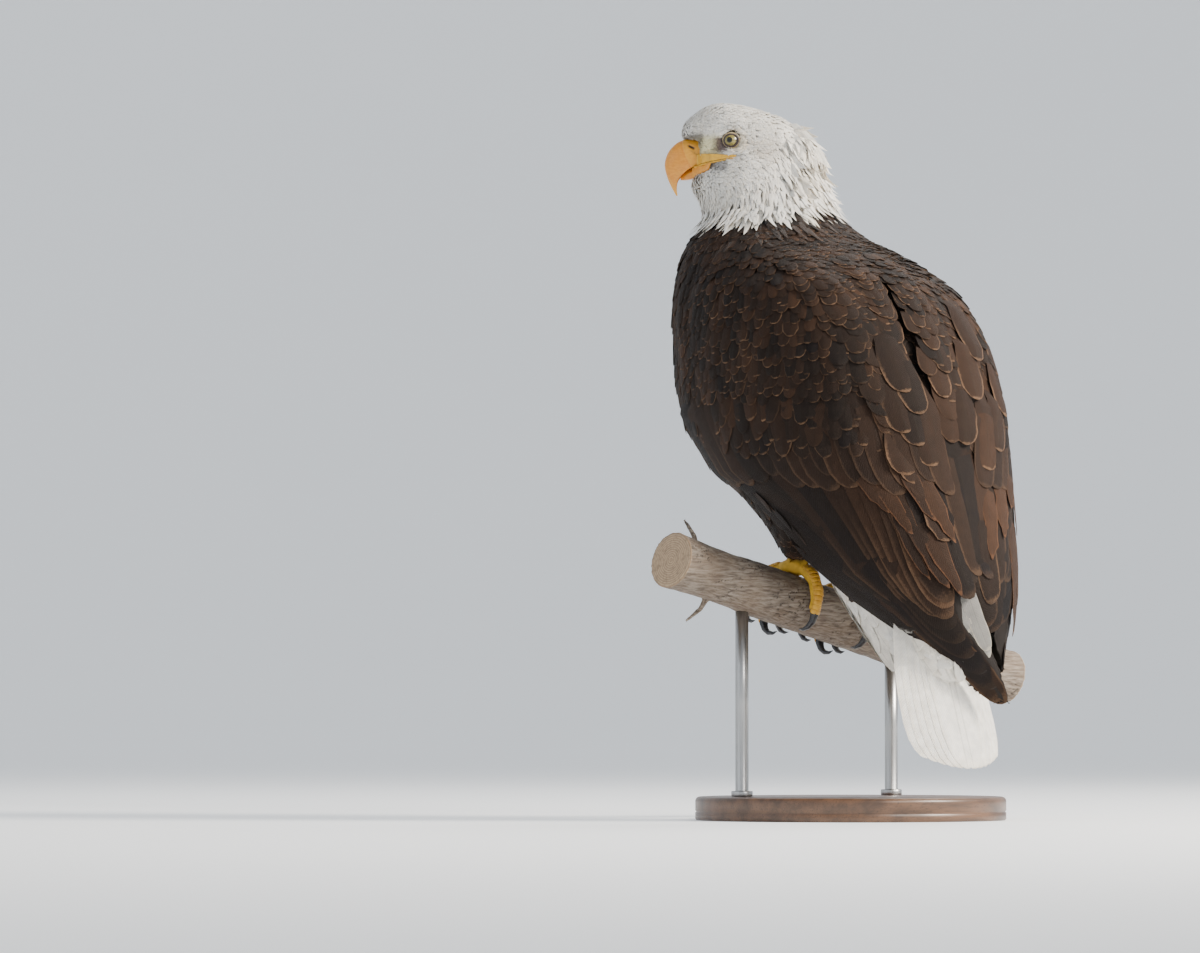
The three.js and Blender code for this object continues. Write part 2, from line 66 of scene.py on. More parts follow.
# The head's own axes: forward, to its left, and the mid point between the eyes.
HEAD_MID = np.array([20.0, -161.0, 732.0])
HEAD_FORWARD = np.array([math.sqrt(0.5), -math.sqrt(0.5), 0.0])
HEAD_LEFT = np.array([math.sqrt(0.5), math.sqrt(0.5), 0.0])
UP = np.array([0.0, 0.0, 1.0])

# Planes that part the coat: where the white neck ends and where the neck joins the head.
NECK_BASE = (np.array([0.0, -112.0, 651.0]), np.array([0.245, 0.025, 1.0]))
NECK_TOP = (np.array([8.0, -146.0, 690.0]), np.array([0.42, -0.42, 1.0]))
LEGS_BELOW = 300.0  # the legs and the tail's coverts lie below this height

# The folded wing's rows, from its tip up: height, centre x and y (x outwards on its own side), half sizes,
# and the angles of its front and back edges.
WING_UPPER = [
    (310, 0, 60, 118, 126, -32, 90), (370, 0, 18, 146, 151, -39, 88), (430, 0, -12, 153, 174, -40, 87),
    (500, 0, -32, 150, 168, -37, 85), (560, 0, -57, 139, 153, -30, 79), (590, 0, -80, 122, 130, -20, 68),
    (612, 0, -99, 105, 107, -6, 50), (640, 0, -112, 92, 92, 6, 36),
]
WING_TIPS = {
    "left": [
        (122, -45, 180, 4, 9, -60, 110), (132, -42, 171, 11, 18, -45, 105), (150, -34, 160, 24, 32, -20, 98),
        (171, -24, 148, 42, 48, -5, 90), (205, -12, 128, 67, 70, -15, 78), (240, -5, 106, 88, 92, -20, 88),
        (270, -1, 86, 104, 108, -24, 91),
    ],
    "right": [
        (156, 50, 168, 4, 8, -60, 110), (166, 48, 160, 12, 16, -45, 100), (184, 40, 147, 28, 32, -30, 96),
        (205, 30, 128, 50, 57, -22, 92), (240, 10, 102, 83, 92, -22, 92), (270, 0, 84, 104, 110, -24, 91),
    ],
}
WING_ROWS = np.array(WING_UPPER, float)
WING_POWER = 2.4
# The shares of the wings' outline that are filled: on the back, and beside the body and low down.
BACK_FILLER, FRONT_FILLER = 0.985, 0.72

# The furrow between the two sides' scapulars, left of the spine as in the photo: heights and x.
FURROW_HEIGHTS = [350, 370, 400, 430, 486, 540, 576, 600, 620]
FURROW_X = [14, 21, 27, 35, 39, 35, 31, 24, 12]

EYE_AHEAD, EYE_OUT, EYE_UP, EYE_RADIUS = -0.5, 27.5, -2.6, 10.0
FACE_FRONT = 33.0  # how far forward of the eyes the feathered face reaches beside the bill

# The tail fan runs from its root to its tip.
TAIL_ROOT = np.array([0.0, 92.0, 330.0])
TAIL_TIP = np.array([0.0, 176.0, 55.0])

# Colours, linear.
WHITE = np.array([0.80, 0.78, 0.73])
CREAM = np.array([0.76, 0.66, 0.50])
BROWN = np.array([0.0098, 0.0058, 0.0040])
RUFOUS = np.array([0.150, 0.066, 0.030])
TAN_EDGE = np.array([0.20, 0.115, 0.065])
LID = np.array([0.030, 0.016, 0.017])
FOOT_SKIN = np.array([0.62, 0.36, 0.035])
BARE_JAW = np.array([0.23, 0.22, 0.22])
BRISTLES = np.array([0.10, 0.085, 0.08])


# ---------------------------------------------------------------- small maths

def ramp(x, start, end):
    """0 at start, 1 at end, eased."""
    t = np.clip((np.asarray(x, float) - start) / (end - start), 0, 1)
    return t * t * (3 - 2 * t)


def window(x, start, full, full_end, end):
    """0 at start, 1 from full to full_end, 0 again at end."""
    return ramp(x, start, full) * ramp(x, end, full_end)


def hump(x, middle, width):
    """1 at the middle, falling away within about the width."""
    return np.exp(-(((x - middle) / width) ** 2))


def unit(v):
    return v / np.maximum(np.linalg.norm(v, axis=-1, keepdims=True), 1e-9)


def square_to(way, normal):
    """Directions made square to unit normals."""
    return unit(way - (way * normal).sum(-1, keepdims=True) * normal)


def circle(sides):
    """Cosines and sines once round a circle."""
    a = np.arange(sides) / sides * math.tau
    return np.cos(a), np.sin(a)


def above(p, plane):
    """How far points lie on a plane's positive side."""
    point, normal = plane
    return (p - point) @ (normal / np.linalg.norm(normal))


def on_head(forward, left, up):
    """Head coordinates to the frame's."""
    parts = [np.asarray(a, float)[..., None] for a in np.broadcast_arrays(forward, left, up)]
    return HEAD_MID + parts[0] * HEAD_FORWARD + parts[1] * HEAD_LEFT + parts[2] * UP


def head_place(p):
    """The frame's coordinates to the head's: forward, left, up."""
    q = p - HEAD_MID
    return q @ HEAD_FORWARD, q @ HEAD_LEFT, q @ UP


def spline(points, t):
    """A smooth curve through points, at t from 0 to 1."""
    pts = np.reshape(np.asarray(points, float), (len(points), -1))
    ends = np.vstack([2 * pts[0] - pts[1], pts, 2 * pts[-1] - pts[-2]])
    s = t * (len(pts) - 1)
    i = np.minimum(s.astype(int), len(pts) - 2)
    x = (s - i)[:, None]
    a, b, c, d = ends[i], ends[i + 1], ends[i + 2], ends[i + 3]
    return 0.5 * (2 * b + (c - a) * x + (2 * a - 5 * b + 4 * c - d) * x**2 + (3 * b - a - 3 * c + d) * x**3)


def pieces_of_noise(p, size, seed=0):
    """A smooth random value from -1 to 1 at each point, about size across."""
    rng = np.random.default_rng(seed)
    total = np.zeros(len(p))
    for _ in range(6):
        wave = unit(rng.normal(size=3)) * rng.uniform(0.7, 1.5) / size * math.tau
        total += np.sin(p @ wave + rng.uniform(0, math.tau))
    return total / 3.2


# ---------------------------------------------------------------- meshes

def write_mesh(name, verts, polys):
    """A mesh from millimetre points and arrays of faces, one array for each number of corners."""
    mesh = bpy.data.meshes.new(name)
    corners = np.concatenate([p.ravel() for p in polys]).astype(np.int32)
    sizes = np.concatenate([np.full(len(p), p.shape[1]) for p in polys])
    starts = np.concatenate([[0], np.cumsum(sizes)[:-1]]).astype(np.int32)
    mesh.vertices.add(len(verts))
    mesh.vertices.foreach_set("co", (np.asarray(verts) * MM).astype(np.float32).ravel())
    mesh.loops.add(len(corners))
    mesh.loops.foreach_set("vertex_index", corners)
    mesh.polygons.add(len(sizes))
    mesh.polygons.foreach_set("loop_start", starts)
    mesh.update(calc_edges=True)
    mesh.polygons.foreach_set("use_smooth", np.full(len(sizes), True))
    return mesh


ATTRIBUTE_KINDS = {1: ("FLOAT", "value"), 3: ("FLOAT_VECTOR", "vector"), 4: ("FLOAT_COLOR", "color")}


def add_attribute(mesh, name, values):
    """Gives each point a number, three numbers or a colour of four."""
    kind, field = ATTRIBUTE_KINDS[values.size // len(values)]
    layer = mesh.attributes.new(name, kind, "POINT")
    layer.data.foreach_set(field, values.astype(np.float32).ravel())


def add_object(name, mesh, materials=()):
    obj = bpy.data.objects.new(name, mesh)
    bpy.context.scene.collection.objects.link(obj)
    for material in materials:
        mesh.materials.append(material)
    return obj


def piece(name, mesh, material, replaces=()):
    """A visible piece of the still model."""
    obj = add_object(name, mesh, [material])
    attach(obj, "root")
    if replaces:
        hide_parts(*replaces)


def tube(rings, close_end=True):
    """Points and faces of a closed tube through rings (rings, around, 3)."""
    n, m = rings.shape[:2]
    i, j = np.meshgrid(np.arange(n - 1), np.arange(m), indexing="ij")
    k = (j + 1) % m
    quads = np.stack([i * m + j, i * m + k, (i + 1) * m + k, (i + 1) * m + j], -1).reshape(-1, 4)
    verts = rings.reshape(-1, 3)
    tris = []
    for wanted, ring, way in ((True, 0, -1), (close_end, n - 1, 1)):
        if wanted:
            middle = np.full(m, len(verts))
            verts = np.vstack([verts, rings[ring].mean(0)])
            edge = ring * m + np.stack([np.arange(m), (np.arange(m) + 1) % m], 1)
            tris.append(np.column_stack([edge[:, ::way], middle]))
    return verts, [quads, np.vstack(tris)]


def joined(parts):
    """Several (verts, polys) as one."""
    verts, polys, offset = [], {}, 0
    for v, faces in parts:
        verts.append(v)
        for f in faces:
            polys.setdefault(f.shape[1], []).append(f + offset)
        offset += len(v)
    return np.vstack(verts), [np.vstack(group) for group in polys.values()]


def filling(filler):
    """A core as wide as that share of the wings' outline on the back, and narrower beside and low down."""
    z, _, yc, hx, hy = spline(WING_ROWS[:-1, :5], np.linspace(0, 1, 24)).T[:, :, None]
    c, s = circle(48)
    share = FRONT_FILLER + (filler - FRONT_FILLER) * ramp(s, -0.1, 0.5)[None] * ramp(z, 320, 385)
    return tube(np.stack([hx * share * c, yc + hy * share * s, z + 0 * share], 2))


def fused(nodes, voxel, passes, filler=0.0):
    """The named CAD solids melted into one closed skin, in millimetres: points and quads.

    With filler, the hollow between the folded wings is filled to that share of the body's outline.
    """
    shape = bmesh.new()
    for node in nodes:
        shape.from_mesh(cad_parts[node].data)
    if filler:
        core = write_mesh("core", *filling(filler))
        shape.from_mesh(core)
        bpy.data.meshes.remove(core)
    mesh = bpy.data.meshes.new("fused")
    shape.to_mesh(mesh)
    shape.free()
    obj = add_object("fused", mesh)
    melt = obj.modifiers.new("melt", "REMESH")
    melt.mode = "VOXEL"
    melt.voxel_size = voxel * MM
    ease = obj.modifiers.new("ease", "SMOOTH")
    ease.factor = 0.5
    ease.iterations = passes
    result = obj.evaluated_get(bpy.context.evaluated_depsgraph_get()).to_mesh()
    verts = np.empty(len(result.vertices) * 3, np.float32)
    result.vertices.foreach_get("co", verts)
    corners = np.empty(len(result.loops), np.int32)
    result.loops.foreach_get("vertex_index", corners)
    obj.to_mesh_clear()
    bpy.data.objects.remove(obj)
    bpy.data.meshes.remove(mesh)
    verts = verts.reshape(-1, 3).astype(float) / MM
    return (trim_face(verts) if "head" in nodes else verts), corners.reshape(-1, 4)


def trim_face(verts):
    """Sets the face back round the base of the bill, where its sides show as far as the cere's hind edge."""
    f, l, u = head_place(verts)
    limit = FACE_FRONT + 22 * ramp(u, -1.5, 3.0) + 9 * ramp(u, -33, -42)
    over = np.maximum(f - limit, 0) * (np.abs(l) < 45) * (u > -60)
    throat = hump(u, -90, 14) * ramp(f, 4, 24) * (np.abs(l) < 60)
    return verts + (2.2 * chin(f, l, u) - 5.0 * throat - 0.9 * over)[:, None] * HEAD_FORWARD


def chin(f, l, u):
    """1 on the fluffed chin below the bill."""
    return hump(u, -49, 11) * ramp(f, 18, 30) * ramp(np.abs(l), 26, 8)


def split_quads(quads):
    return np.vstack([quads[:, [0, 1, 2]], quads[:, [0, 2, 3]]])


def vertex_normals(verts, tris):
    """Normals at the points, weighted by the areas of the triangles round them."""
    face = np.cross(verts[tris[:, 1]] - verts[tris[:, 0]], verts[tris[:, 2]] - verts[tris[:, 0]])
    total = np.zeros_like(verts)
    for corner in range(3):
        for axis in range(3):
            total[:, axis] += np.bincount(tris[:, corner], face[:, axis], len(verts))
    return unit(total)


def spread(values, tris, passes):
    """Values at the vertices averaged with their neighbours'."""
    edges = np.vstack([tris[:, [0, 1]], tris[:, [1, 2]], tris[:, [2, 0]]])
    edges = np.vstack([edges, edges[:, ::-1]])
    count = np.bincount(edges[:, 0], minlength=len(values))
    flat = values.reshape(len(values), -1).copy()
    for _ in range(passes):
        for axis in range(flat.shape[1]):
            around = np.bincount(edges[:, 0], flat[edges[:, 1], axis], len(flat))
            flat[:, axis] = 0.4 * flat[:, axis] + 0.6 * around / np.maximum(count, 1)
    return flat.reshape(values.shape)


def solid(name):
    """The surface of a CAD node, for distances in millimetres."""
    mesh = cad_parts[name].data
    corners = [(v.co / MM)[:] for v in mesh.vertices]
    return BVHTree.FromPolygons(corners, [tuple(p.vertices) for p in mesh.polygons])


SOLIDS = {name: solid(name) for name in LOWER_FLESH}


def gap_to(p, names):
    """How far low points lie from the nearest of the named solids; far for the rest."""
    gaps = np.full(len(p), OUT_OF_REACH)
    low = np.where(p[:, 2] < LEGS_BELOW)[0]
    if len(low):
        gaps[low] = [min(SOLIDS[n].find_nearest(q)[3] for n in names) for q in p[low].tolist()]
    return gaps


def bare_share(p):
    """1 on the naked shanks and feet."""
    naked = gap_to(p, ["shank_left", "shank_right", "foot_left", "foot_right"])
    clad = gap_to(p, ["thigh_left", "thigh_right", "trunk", "tail_coverts"])
    return ramp(p[:, 2], LEGS_BELOW, LEGS_BELOW - 8) * ramp(naked - clad, 0.5, -1.5)


def covert_share(p):
    """1 on the white coverts above and below the tail."""
    nearer = gap_to(p, ["tail_coverts"]) - gap_to(p, ["thigh_left", "thigh_right", "trunk"])
    return ramp(p[:, 2], LEGS_BELOW, LEGS_BELOW - 8) * ramp(nearer, 1.5, -1.5)


class Guide:
    """A smooth closed surface that the feathers are laid on."""

    def __init__(self, nodes, voxel, passes, filler=0.0):
        self.verts, self.quads = fused(nodes, voxel, passes, filler)
        self.tris = split_quads(self.quads)
        self.tree = BVHTree.FromPolygons(self.verts.tolist(), self.tris.tolist())
        self.normals = unit(spread(vertex_normals(self.verts, self.tris), self.tris, 3))
        flow = spread(coat_flow(self.verts, self.normals), self.tris, 8)
        self.flow = square_to(flow, self.normals)

    def find(self, points):
        """The nearest places: position, triangle and its corner weights."""
        found = [self.tree.find_nearest(p) for p in points.tolist()]
        place = np.array([f[0] for f in found])
        tri = np.array([f[2] for f in found])
        a, b, c = (self.verts[self.tris[tri, k]] for k in range(3))
        area = np.cross(b - a, c - a)
        scale = np.maximum((area**2).sum(1), 1e-12)
        wb = (np.cross(place - a, c - a) * area).sum(1) / scale
        wc = (np.cross(b - a, place - a) * area).sum(1) / scale
        return place, tri, np.stack([1 - wb - wc, wb, wc], 1)

    def mix(self, values, tri, weights):
        corners = values[self.tris[tri]]
        return (corners * weights.reshape(weights.shape + (1,) * (corners.ndim - 2))).sum(1)

    def scatter(self, keep, spacing):
        """Points spread evenly over the part of the surface that keep marks.

        The spacing between them is a number or a function of their places.
        """
        a, b, c = (self.verts[self.tris[:, k]] for k in range(3))
        area = np.linalg.norm(np.cross(b - a, c - a), axis=1) / 2
        middle = (a + b + c) / 3
        spacing = spacing(middle) if callable(spacing) else np.full(len(middle), spacing)
        gap = np.maximum(spacing, 1.0)
        expected = area * keep(middle) / (0.75 * gap**2)
        tries = int(expected.sum() * TRIES)
        picks = RANDOM.choice(len(expected), tries, p=expected / expected.sum())
        r = np.sqrt(RANDOM.random(tries))[:, None]
        s = RANDOM.random(tries)[:, None]
        points = (1 - r) * a[picks] + r * (1 - s) * b[picks] + r * s * c[picks]
        gaps = gap[picks]
        cell = float(gaps.max())
        cells, kept = {}, []
        keys = np.floor(points / cell).astype(int).tolist()
        for n, (p, g, key) in enumerate(zip(points.tolist(), gaps.tolist(), keys)):
            if not crowded(cells, p, g, key):
                cells.setdefault(tuple(key), []).append(p)
                kept.append(n)
        return points[kept]


TRIES = 8  # how many places are tried for each one wanted
NEAR_CELLS = list(itertools.product((0, -1, 1), repeat=3))


def crowded(cells, p, gap, key):
    """Whether a point already kept lies within the gap of p; cells holds them by their grid cell."""
    i, j, k = key
    for di, dj, dk in NEAR_CELLS:
        for q in cells.get((i + di, j + dj, k + dk), ()):
            if (q[0] - p[0]) ** 2 + (q[1] - p[1]) ** 2 + (q[2] - p[2]) ** 2 < gap * gap:
                return True
    return False


# ---------------------------------------------------------------- materials

class Look:
    """A material and the nodes that feed its shader."""

    def __init__(self, name):
        self.material = bpy.data.materials.new(name)
        self.material.use_nodes = True
        self.tree = self.material.node_tree
        self.shader = self.tree.nodes["Principled BSDF"]

    def feed(self, socket, value):
        """Links another node's output to the socket, or sets the socket to a constant."""
        if isinstance(value, bpy.types.NodeSocket):
            self.tree.links.new(value, socket)
        elif socket.type == "RGBA":
            socket.default_value = tuple(value)[:3] + (1.0,)
        else:
            socket.default_value = value

    def node(self, kind, inputs, **settings):
        made = self.tree.nodes.new("ShaderNode" + kind)
        for name, value in settings.items():
            setattr(made, name, value)
        for socket, value in inputs.items():
            self.feed(made.inputs[socket], value)
        return made

    def attribute(self, name):
        return self.node("Attribute", {}, attribute_name=name).outputs

    def parts(self, name):
        """The three numbers of a vector attribute."""
        return self.node("SeparateXYZ", {0: self.attribute(name)["Vector"]}).outputs

    def math(self, operation, a, b=None):
        inputs = {0: a} if b is None else {0: a, 1: b}
        return self.node("Math", inputs, operation=operation).outputs[0]

    def ease(self, value, low, high):
        """0 at low, 1 at high."""
        inputs = {"Value": value, "From Min": low, "From Max": high}
        return self.node("MapRange", inputs, interpolation_type="SMOOTHSTEP").outputs[0]

    def mix(self, share, a, b, blend="MIX"):
        return self.node("Mix", {0: share, 6: a, 7: b}, data_type="RGBA", blend_type=blend).outputs[2]

    def noise(self, scale, detail=4.0, rough=0.55, stretch=(1, 1, 1)):
        """Noise over the object's own coordinates; scale is in metres to the minus one."""
        place = self.node("TexCoord", {}).outputs["Object"]
        mapped = self.node("Mapping", {"Vector": place, "Scale": stretch}).outputs[0]
        inputs = {"Vector": mapped, "Scale": scale, "Detail": detail, "Roughness": rough}
        return self.node("TexNoise", inputs).outputs["Fac"]

    def bump(self, height, distance, strength):
        inputs = {"Height": height, "Distance": distance, "Strength": strength}
        self.set({"Normal": self.node("Bump", inputs).outputs[0]})

    def set(self, values):
        """Feeds the shader's own inputs."""
        for name, value in values.items():
            self.feed(self.shader.inputs[name], value)


def grey(value):
    """A colour without hue."""
    return (value, value, value)


def feather_material(name, barb_width, sheen, soft=0.0):
    """Vanes: the tint of each feather, a worn pale edge, a shaft and the slanting barbs."""
    m = Look(name)
    tint = m.attribute("tint")["Color"]
    edge_tint = m.attribute("edge_tint")
    lie = m.parts("lie")
    barb = m.attribute("barb")["Fac"]
    across = m.math("ABSOLUTE", lie["X"])
    ragged = m.noise(420.0, 2.0)

    def roughened(value, amount):
        return m.math("ADD", m.math("MULTIPLY", m.math("SUBTRACT", ragged, 0.5), amount), value)

    side = m.ease(roughened(across, 0.22), 0.80, 0.96)
    side = m.math("MULTIPLY", side, m.ease(lie["Y"], 0.35, 0.8))
    tip = m.ease(roughened(lie["Y"], 0.06), 0.945, 0.985)
    edge = m.math("MULTIPLY", m.math("MAXIMUM", side, tip), edge_tint["Alpha"])
    colour = m.mix(edge, tint, edge_tint["Color"])
    shaft = m.math("SUBTRACT", 1.0, m.ease(across, 0.02, 0.07))
    colour = m.mix(m.math("MULTIPLY", shaft, 0.35), colour, m.mix(0.6, colour, (0.02, 0.015, 0.01)))
    mottle = m.mix(m.ease(m.noise(90.0, 5.0), 0.25, 0.75), (0.72, 0.70, 0.68), (1.18, 1.15, 1.12))
    colour = m.mix(0.55, colour, mottle, "MULTIPLY")

    def waves(width):
        return m.math("SINE", m.math("MULTIPLY", barb, math.tau / width))

    clumps = m.math("MULTIPLY", waves(barb_width * 3.7), ragged)
    height = m.math("ADD", m.math("MULTIPLY", waves(barb_width), 0.5), clumps)
    lines = m.mix(m.ease(height, -1.0, 1.0), grey(0.78), grey(1.12))
    m.bump(height, 0.00022, 0.7)
    m.set({
        "Base Color": m.mix(0.35, colour, lines, "MULTIPLY"),
        "Roughness": 0.68,
        "Specular IOR Level": 0.13,
        "Sheen Weight": sheen,
        "Sheen Roughness": 0.5,
        "Subsurface Weight": soft,
        "Subsurface Radius": (0.003, 0.0027, 0.0023),
    })
    return m.material


def skin_material():
    """Bare and downy skin under the coat, carrying the coat's markings."""
    m = Look("skin")
    mottle = m.mix(m.ease(m.noise(160.0, 5.0), 0.3, 0.7), grey(0.7), grey(1.2))
    m.bump(m.noise(900.0, 3.0), 0.0004, 0.6)
    colour = m.mix(0.5, m.attribute("tint")["Color"], mottle, "MULTIPLY")
    m.set({"Base Color": colour, "Roughness": 0.6, "Specular IOR Level": 0.2})
    return m.material


# ---------------------------------------------------------------- the lie, length and colour of the coat

def valley_gap(p):
    """The distance across the back from the furrow between the two sides' scapulars."""
    x, y, z = p.T
    return np.where((y > 20) & (z > 340), np.abs(x - np.interp(z, FURROW_HEIGHTS, FURROW_X)), OUT_OF_REACH)


def valley(p, width):
    """1 along the furrow's bottom, fading over width and towards its ends."""
    return hump(valley_gap(p), 0, width) * window(p[:, 2], 368, 392, 566, 606)


def rows_of(side):
    """A folded wing's rows from its tip up to the shoulder."""
    return np.array(WING_TIPS[side] + WING_UPPER, float)


def around(p):
    """A body point's angle round its level, 0 at the side, 90 at the back and -90 in front."""
    yc, hx, hy = (np.interp(p[:, 2], WING_ROWS[:, 0], WING_ROWS[:, k]) for k in (2, 3, 4))
    return np.degrees(np.arctan2((p[:, 1] - yc) / hy, np.abs(p[:, 0]) / hx))


def thigh_share(p):
    """1 on the thighs."""
    return ramp(p[:, 2], 345, 300) * ramp(p[:, 1], 50, 20) * ramp(np.abs(p[:, 0]), 15, 35)


def scapular_edge(z):
    """The angle where the scapulars give way to the wing's coverts."""
    return 43 + (605 - z) / 240 * 35


def coat_flow(p, normals):
    """The way that the feathers point."""
    x, y, z = p.T
    phi = around(p)
    back_sweep = (0.10 + 0.55 * ramp(z, 430, 300)) * (1 - 0.8 * thigh_share(p))
    body = np.stack([0 * x, back_sweep, -np.ones_like(x)], 1)
    inwards = np.stack([-np.sign(x) * np.sin(np.radians(phi)), np.cos(np.radians(phi)), 0 * x], 1)
    right_of_valley = (x > 0) & (y > 20) & (x < np.interp(z, FURROW_HEIGHTS, FURROW_X))
    inwards[right_of_valley] *= -1
    scapular = ramp(phi, scapular_edge(z) - 14, scapular_edge(z) + 2) * ramp(phi, 92, 70)
    scapular = scapular * ramp(z, 300, 380) * ramp(z, 640, 590)
    body += 0.42 * (scapular * ramp(valley_gap(p), 8, 45))[:, None] * inwards
    side_breast = ramp(phi, -10, -35) * ramp(phi, -88, -60) * ramp(z, 330, 420)
    body += 0.12 * side_breast[:, None] * inwards
    reach = ramp(head_place(p)[0], -78, 6)[:, None]
    head = -HEAD_FORWARD * (0.18 + 0.82 * reach) - UP * (1.0 - 0.82 * reach)
    high = ramp(above(p, NECK_TOP), -30, 22)[:, None]
    flow = unit(body) * (1 - high) + unit(head) * high
    return square_to(flow, normals)


def from_bill(p):
    """The distance from the middle of the bill's base."""
    return np.linalg.norm(p - on_head(34.0, 0.0, -13.0), axis=1)


def from_eye(p):
    """The distance from the nearer eye's middle, across the line of sight."""
    f, l, u = head_place(p)
    return np.where(np.abs(l) > 14, np.hypot(f - EYE_AHEAD, u - EYE_UP), OUT_OF_REACH)


def is_white(p):
    """1 where the coat is white, 0 where it is brown."""
    ragged = 5 * pieces_of_noise(p, 26, 3)
    height = above(p, NECK_BASE)
    head = ramp(height + ragged, 9, 15) * ramp(height, 7.5, 9)
    return np.maximum(head, covert_share(p))


def face_marks(pale, p):
    """The white coat's markings on the head: a grey cheek, yellowish lores, and bare or dark skin."""
    f, _, u = head_place(p)
    on_face = ramp(above(p, NECK_TOP), -10, 20)[:, None]

    def towards(colour, share, strength):
        return pale + (colour - pale) * strength * (share[:, None] * on_face)

    streaks = 0.65 + 0.35 * pieces_of_noise(p * np.array([1, 1, 2.2]), 17, 12)
    cheek = window(f, -66, -34, -20, -9) * ramp(np.abs(u + 9), 19, 6) * np.clip(streaks, 0, 1)
    pale = pale * (1 - np.array([0.30, 0.34, 0.38]) * (cheek[:, None] * on_face))
    lore = ramp(f, 10, 20) * window(u, -28, -16, -2, 8)
    pale = pale * (1 - lore[:, None] * on_face * np.array([0.10, 0.14, 0.42]))
    pale = towards(LID * 3.0, window(f, 6, 9, 18, 26) * window(u, -19, -12, -1, 5), 0.88)
    pale = towards(BARE_JAW, window(f, 6, 11, 21, 25) * window(u, -39, -34, -27, -23), 0.8)
    pale = towards(CREAM, ramp(from_eye(p), 14.5, 12) * ramp(f, 3, -3), 0.7)
    return towards(BRISTLES, ramp(f, 31, 36) * window(u, -12, -4, 3.5, 9.5), 0.75)


def coat_colour(p, varied=False):
    """The tint of a feather rooted at p, and of its worn edge (with its strength).

    Varied, each point is all brown or all white and differs a little from the next.
    """
    n = len(p)
    white = is_white(p)[:, None]
    draw = np.zeros((n, 3))
    if varied:
        white = (white > 0.5).astype(float)
        draw = RANDOM.normal(size=(n, 3))
    patch = pieces_of_noise(p, 60, 11)[:, None]
    brown = BROWN + (RUFOUS - BROWN) * np.clip(0.05 + 0.06 * patch + 0.05 * draw[:, :1], 0, 1)
    brown = brown * (1 + 0.10 * draw[:, 1:2])
    cream = np.clip(0.16 + 0.14 * patch + 0.10 * draw[:, :1], 0, 1)
    cream = cream * (1 - 0.4 * ramp(above(p, NECK_TOP), -10, 20)[:, None])
    pale = face_marks(WHITE + (CREAM - WHITE) * cream, p)
    tint = np.clip(brown * (1 - white) + pale * white, 0.004, 0.9)
    strength = np.clip(0.24 + 0.20 * draw[:, 2:3] + 0.10 * patch, 0.02, 1) * (1 - white)
    return tint, np.hstack([np.broadcast_to(TAN_EDGE, (n, 3)), strength])


# ---------------------------------------------------------------- feathers

# Outlines: places along a feather from its root to its tip, and the share of its full width there.
ROUND = ([0, 0.18, 0.38, 0.58, 0.76, 0.88, 0.955, 1.0], [0.30, 0.66, 0.90, 1.0, 0.95, 0.76, 0.50, 0.16])
POINTED = ([0, 0.15, 0.32, 0.50, 0.68, 0.84, 0.94, 1.0], [0.34, 0.80, 1.0, 0.88, 0.66, 0.40, 0.19, 0.05])
SMALL = ([0, 0.28, 0.55, 0.80, 0.93, 1.0], [0.40, 0.92, 1.0, 0.74, 0.44, 0.14])
LONG = (
    [0, 0.10, 0.22, 0.36, 0.50, 0.64, 0.76, 0.86, 0.925, 0.965, 0.99, 1.0],
    [0.30, 0.62, 0.82, 0.94, 1.0, 1.0, 0.97, 0.88, 0.74, 0.55, 0.34, 0.14],
)
BROAD_LONG = (
    [0, 0.10, 0.22, 0.36, 0.52, 0.68, 0.80, 0.88, 0.94, 0.975, 1.0],
    [0.40, 0.70, 0.88, 0.97, 1.0, 1.0, 0.95, 0.86, 0.70, 0.50, 0.18],
)
SCAPULAR = (
    [0, 0.12, 0.26, 0.42, 0.56, 0.68, 0.78, 0.86, 0.92, 0.965, 1.0],
    [0.28, 0.50, 0.72, 0.90, 0.99, 1.0, 0.95, 0.83, 0.66, 0.45, 0.14],
)
WORN_LONG = (SCAPULAR[0], [0.40, 0.78, 0.96, 1.0, 0.98, 0.90, 0.76, 0.60, 0.42, 0.24, 0.07])

# Columns across a vane, from -1 at one edge to 1 at the other: those of its top, then of its underside.
FINE_VANE = ([-1, 0, 1], [])
PLAIN_VANE = ([-1, -0.55, 0, 0.55, 1], [0])
BROAD_VANE = ([-1, -0.6, -0.25, 0, 0.25, 0.6, 1], [0])
FLIGHT_VANE = ([-1, -0.75, -0.4, -0.12, 0, 0.12, 0.4, 0.75, 1], [0.5, -0.5])

BAKE_PATCH = 0.003  # the size of each feather's patch on the OFBake map


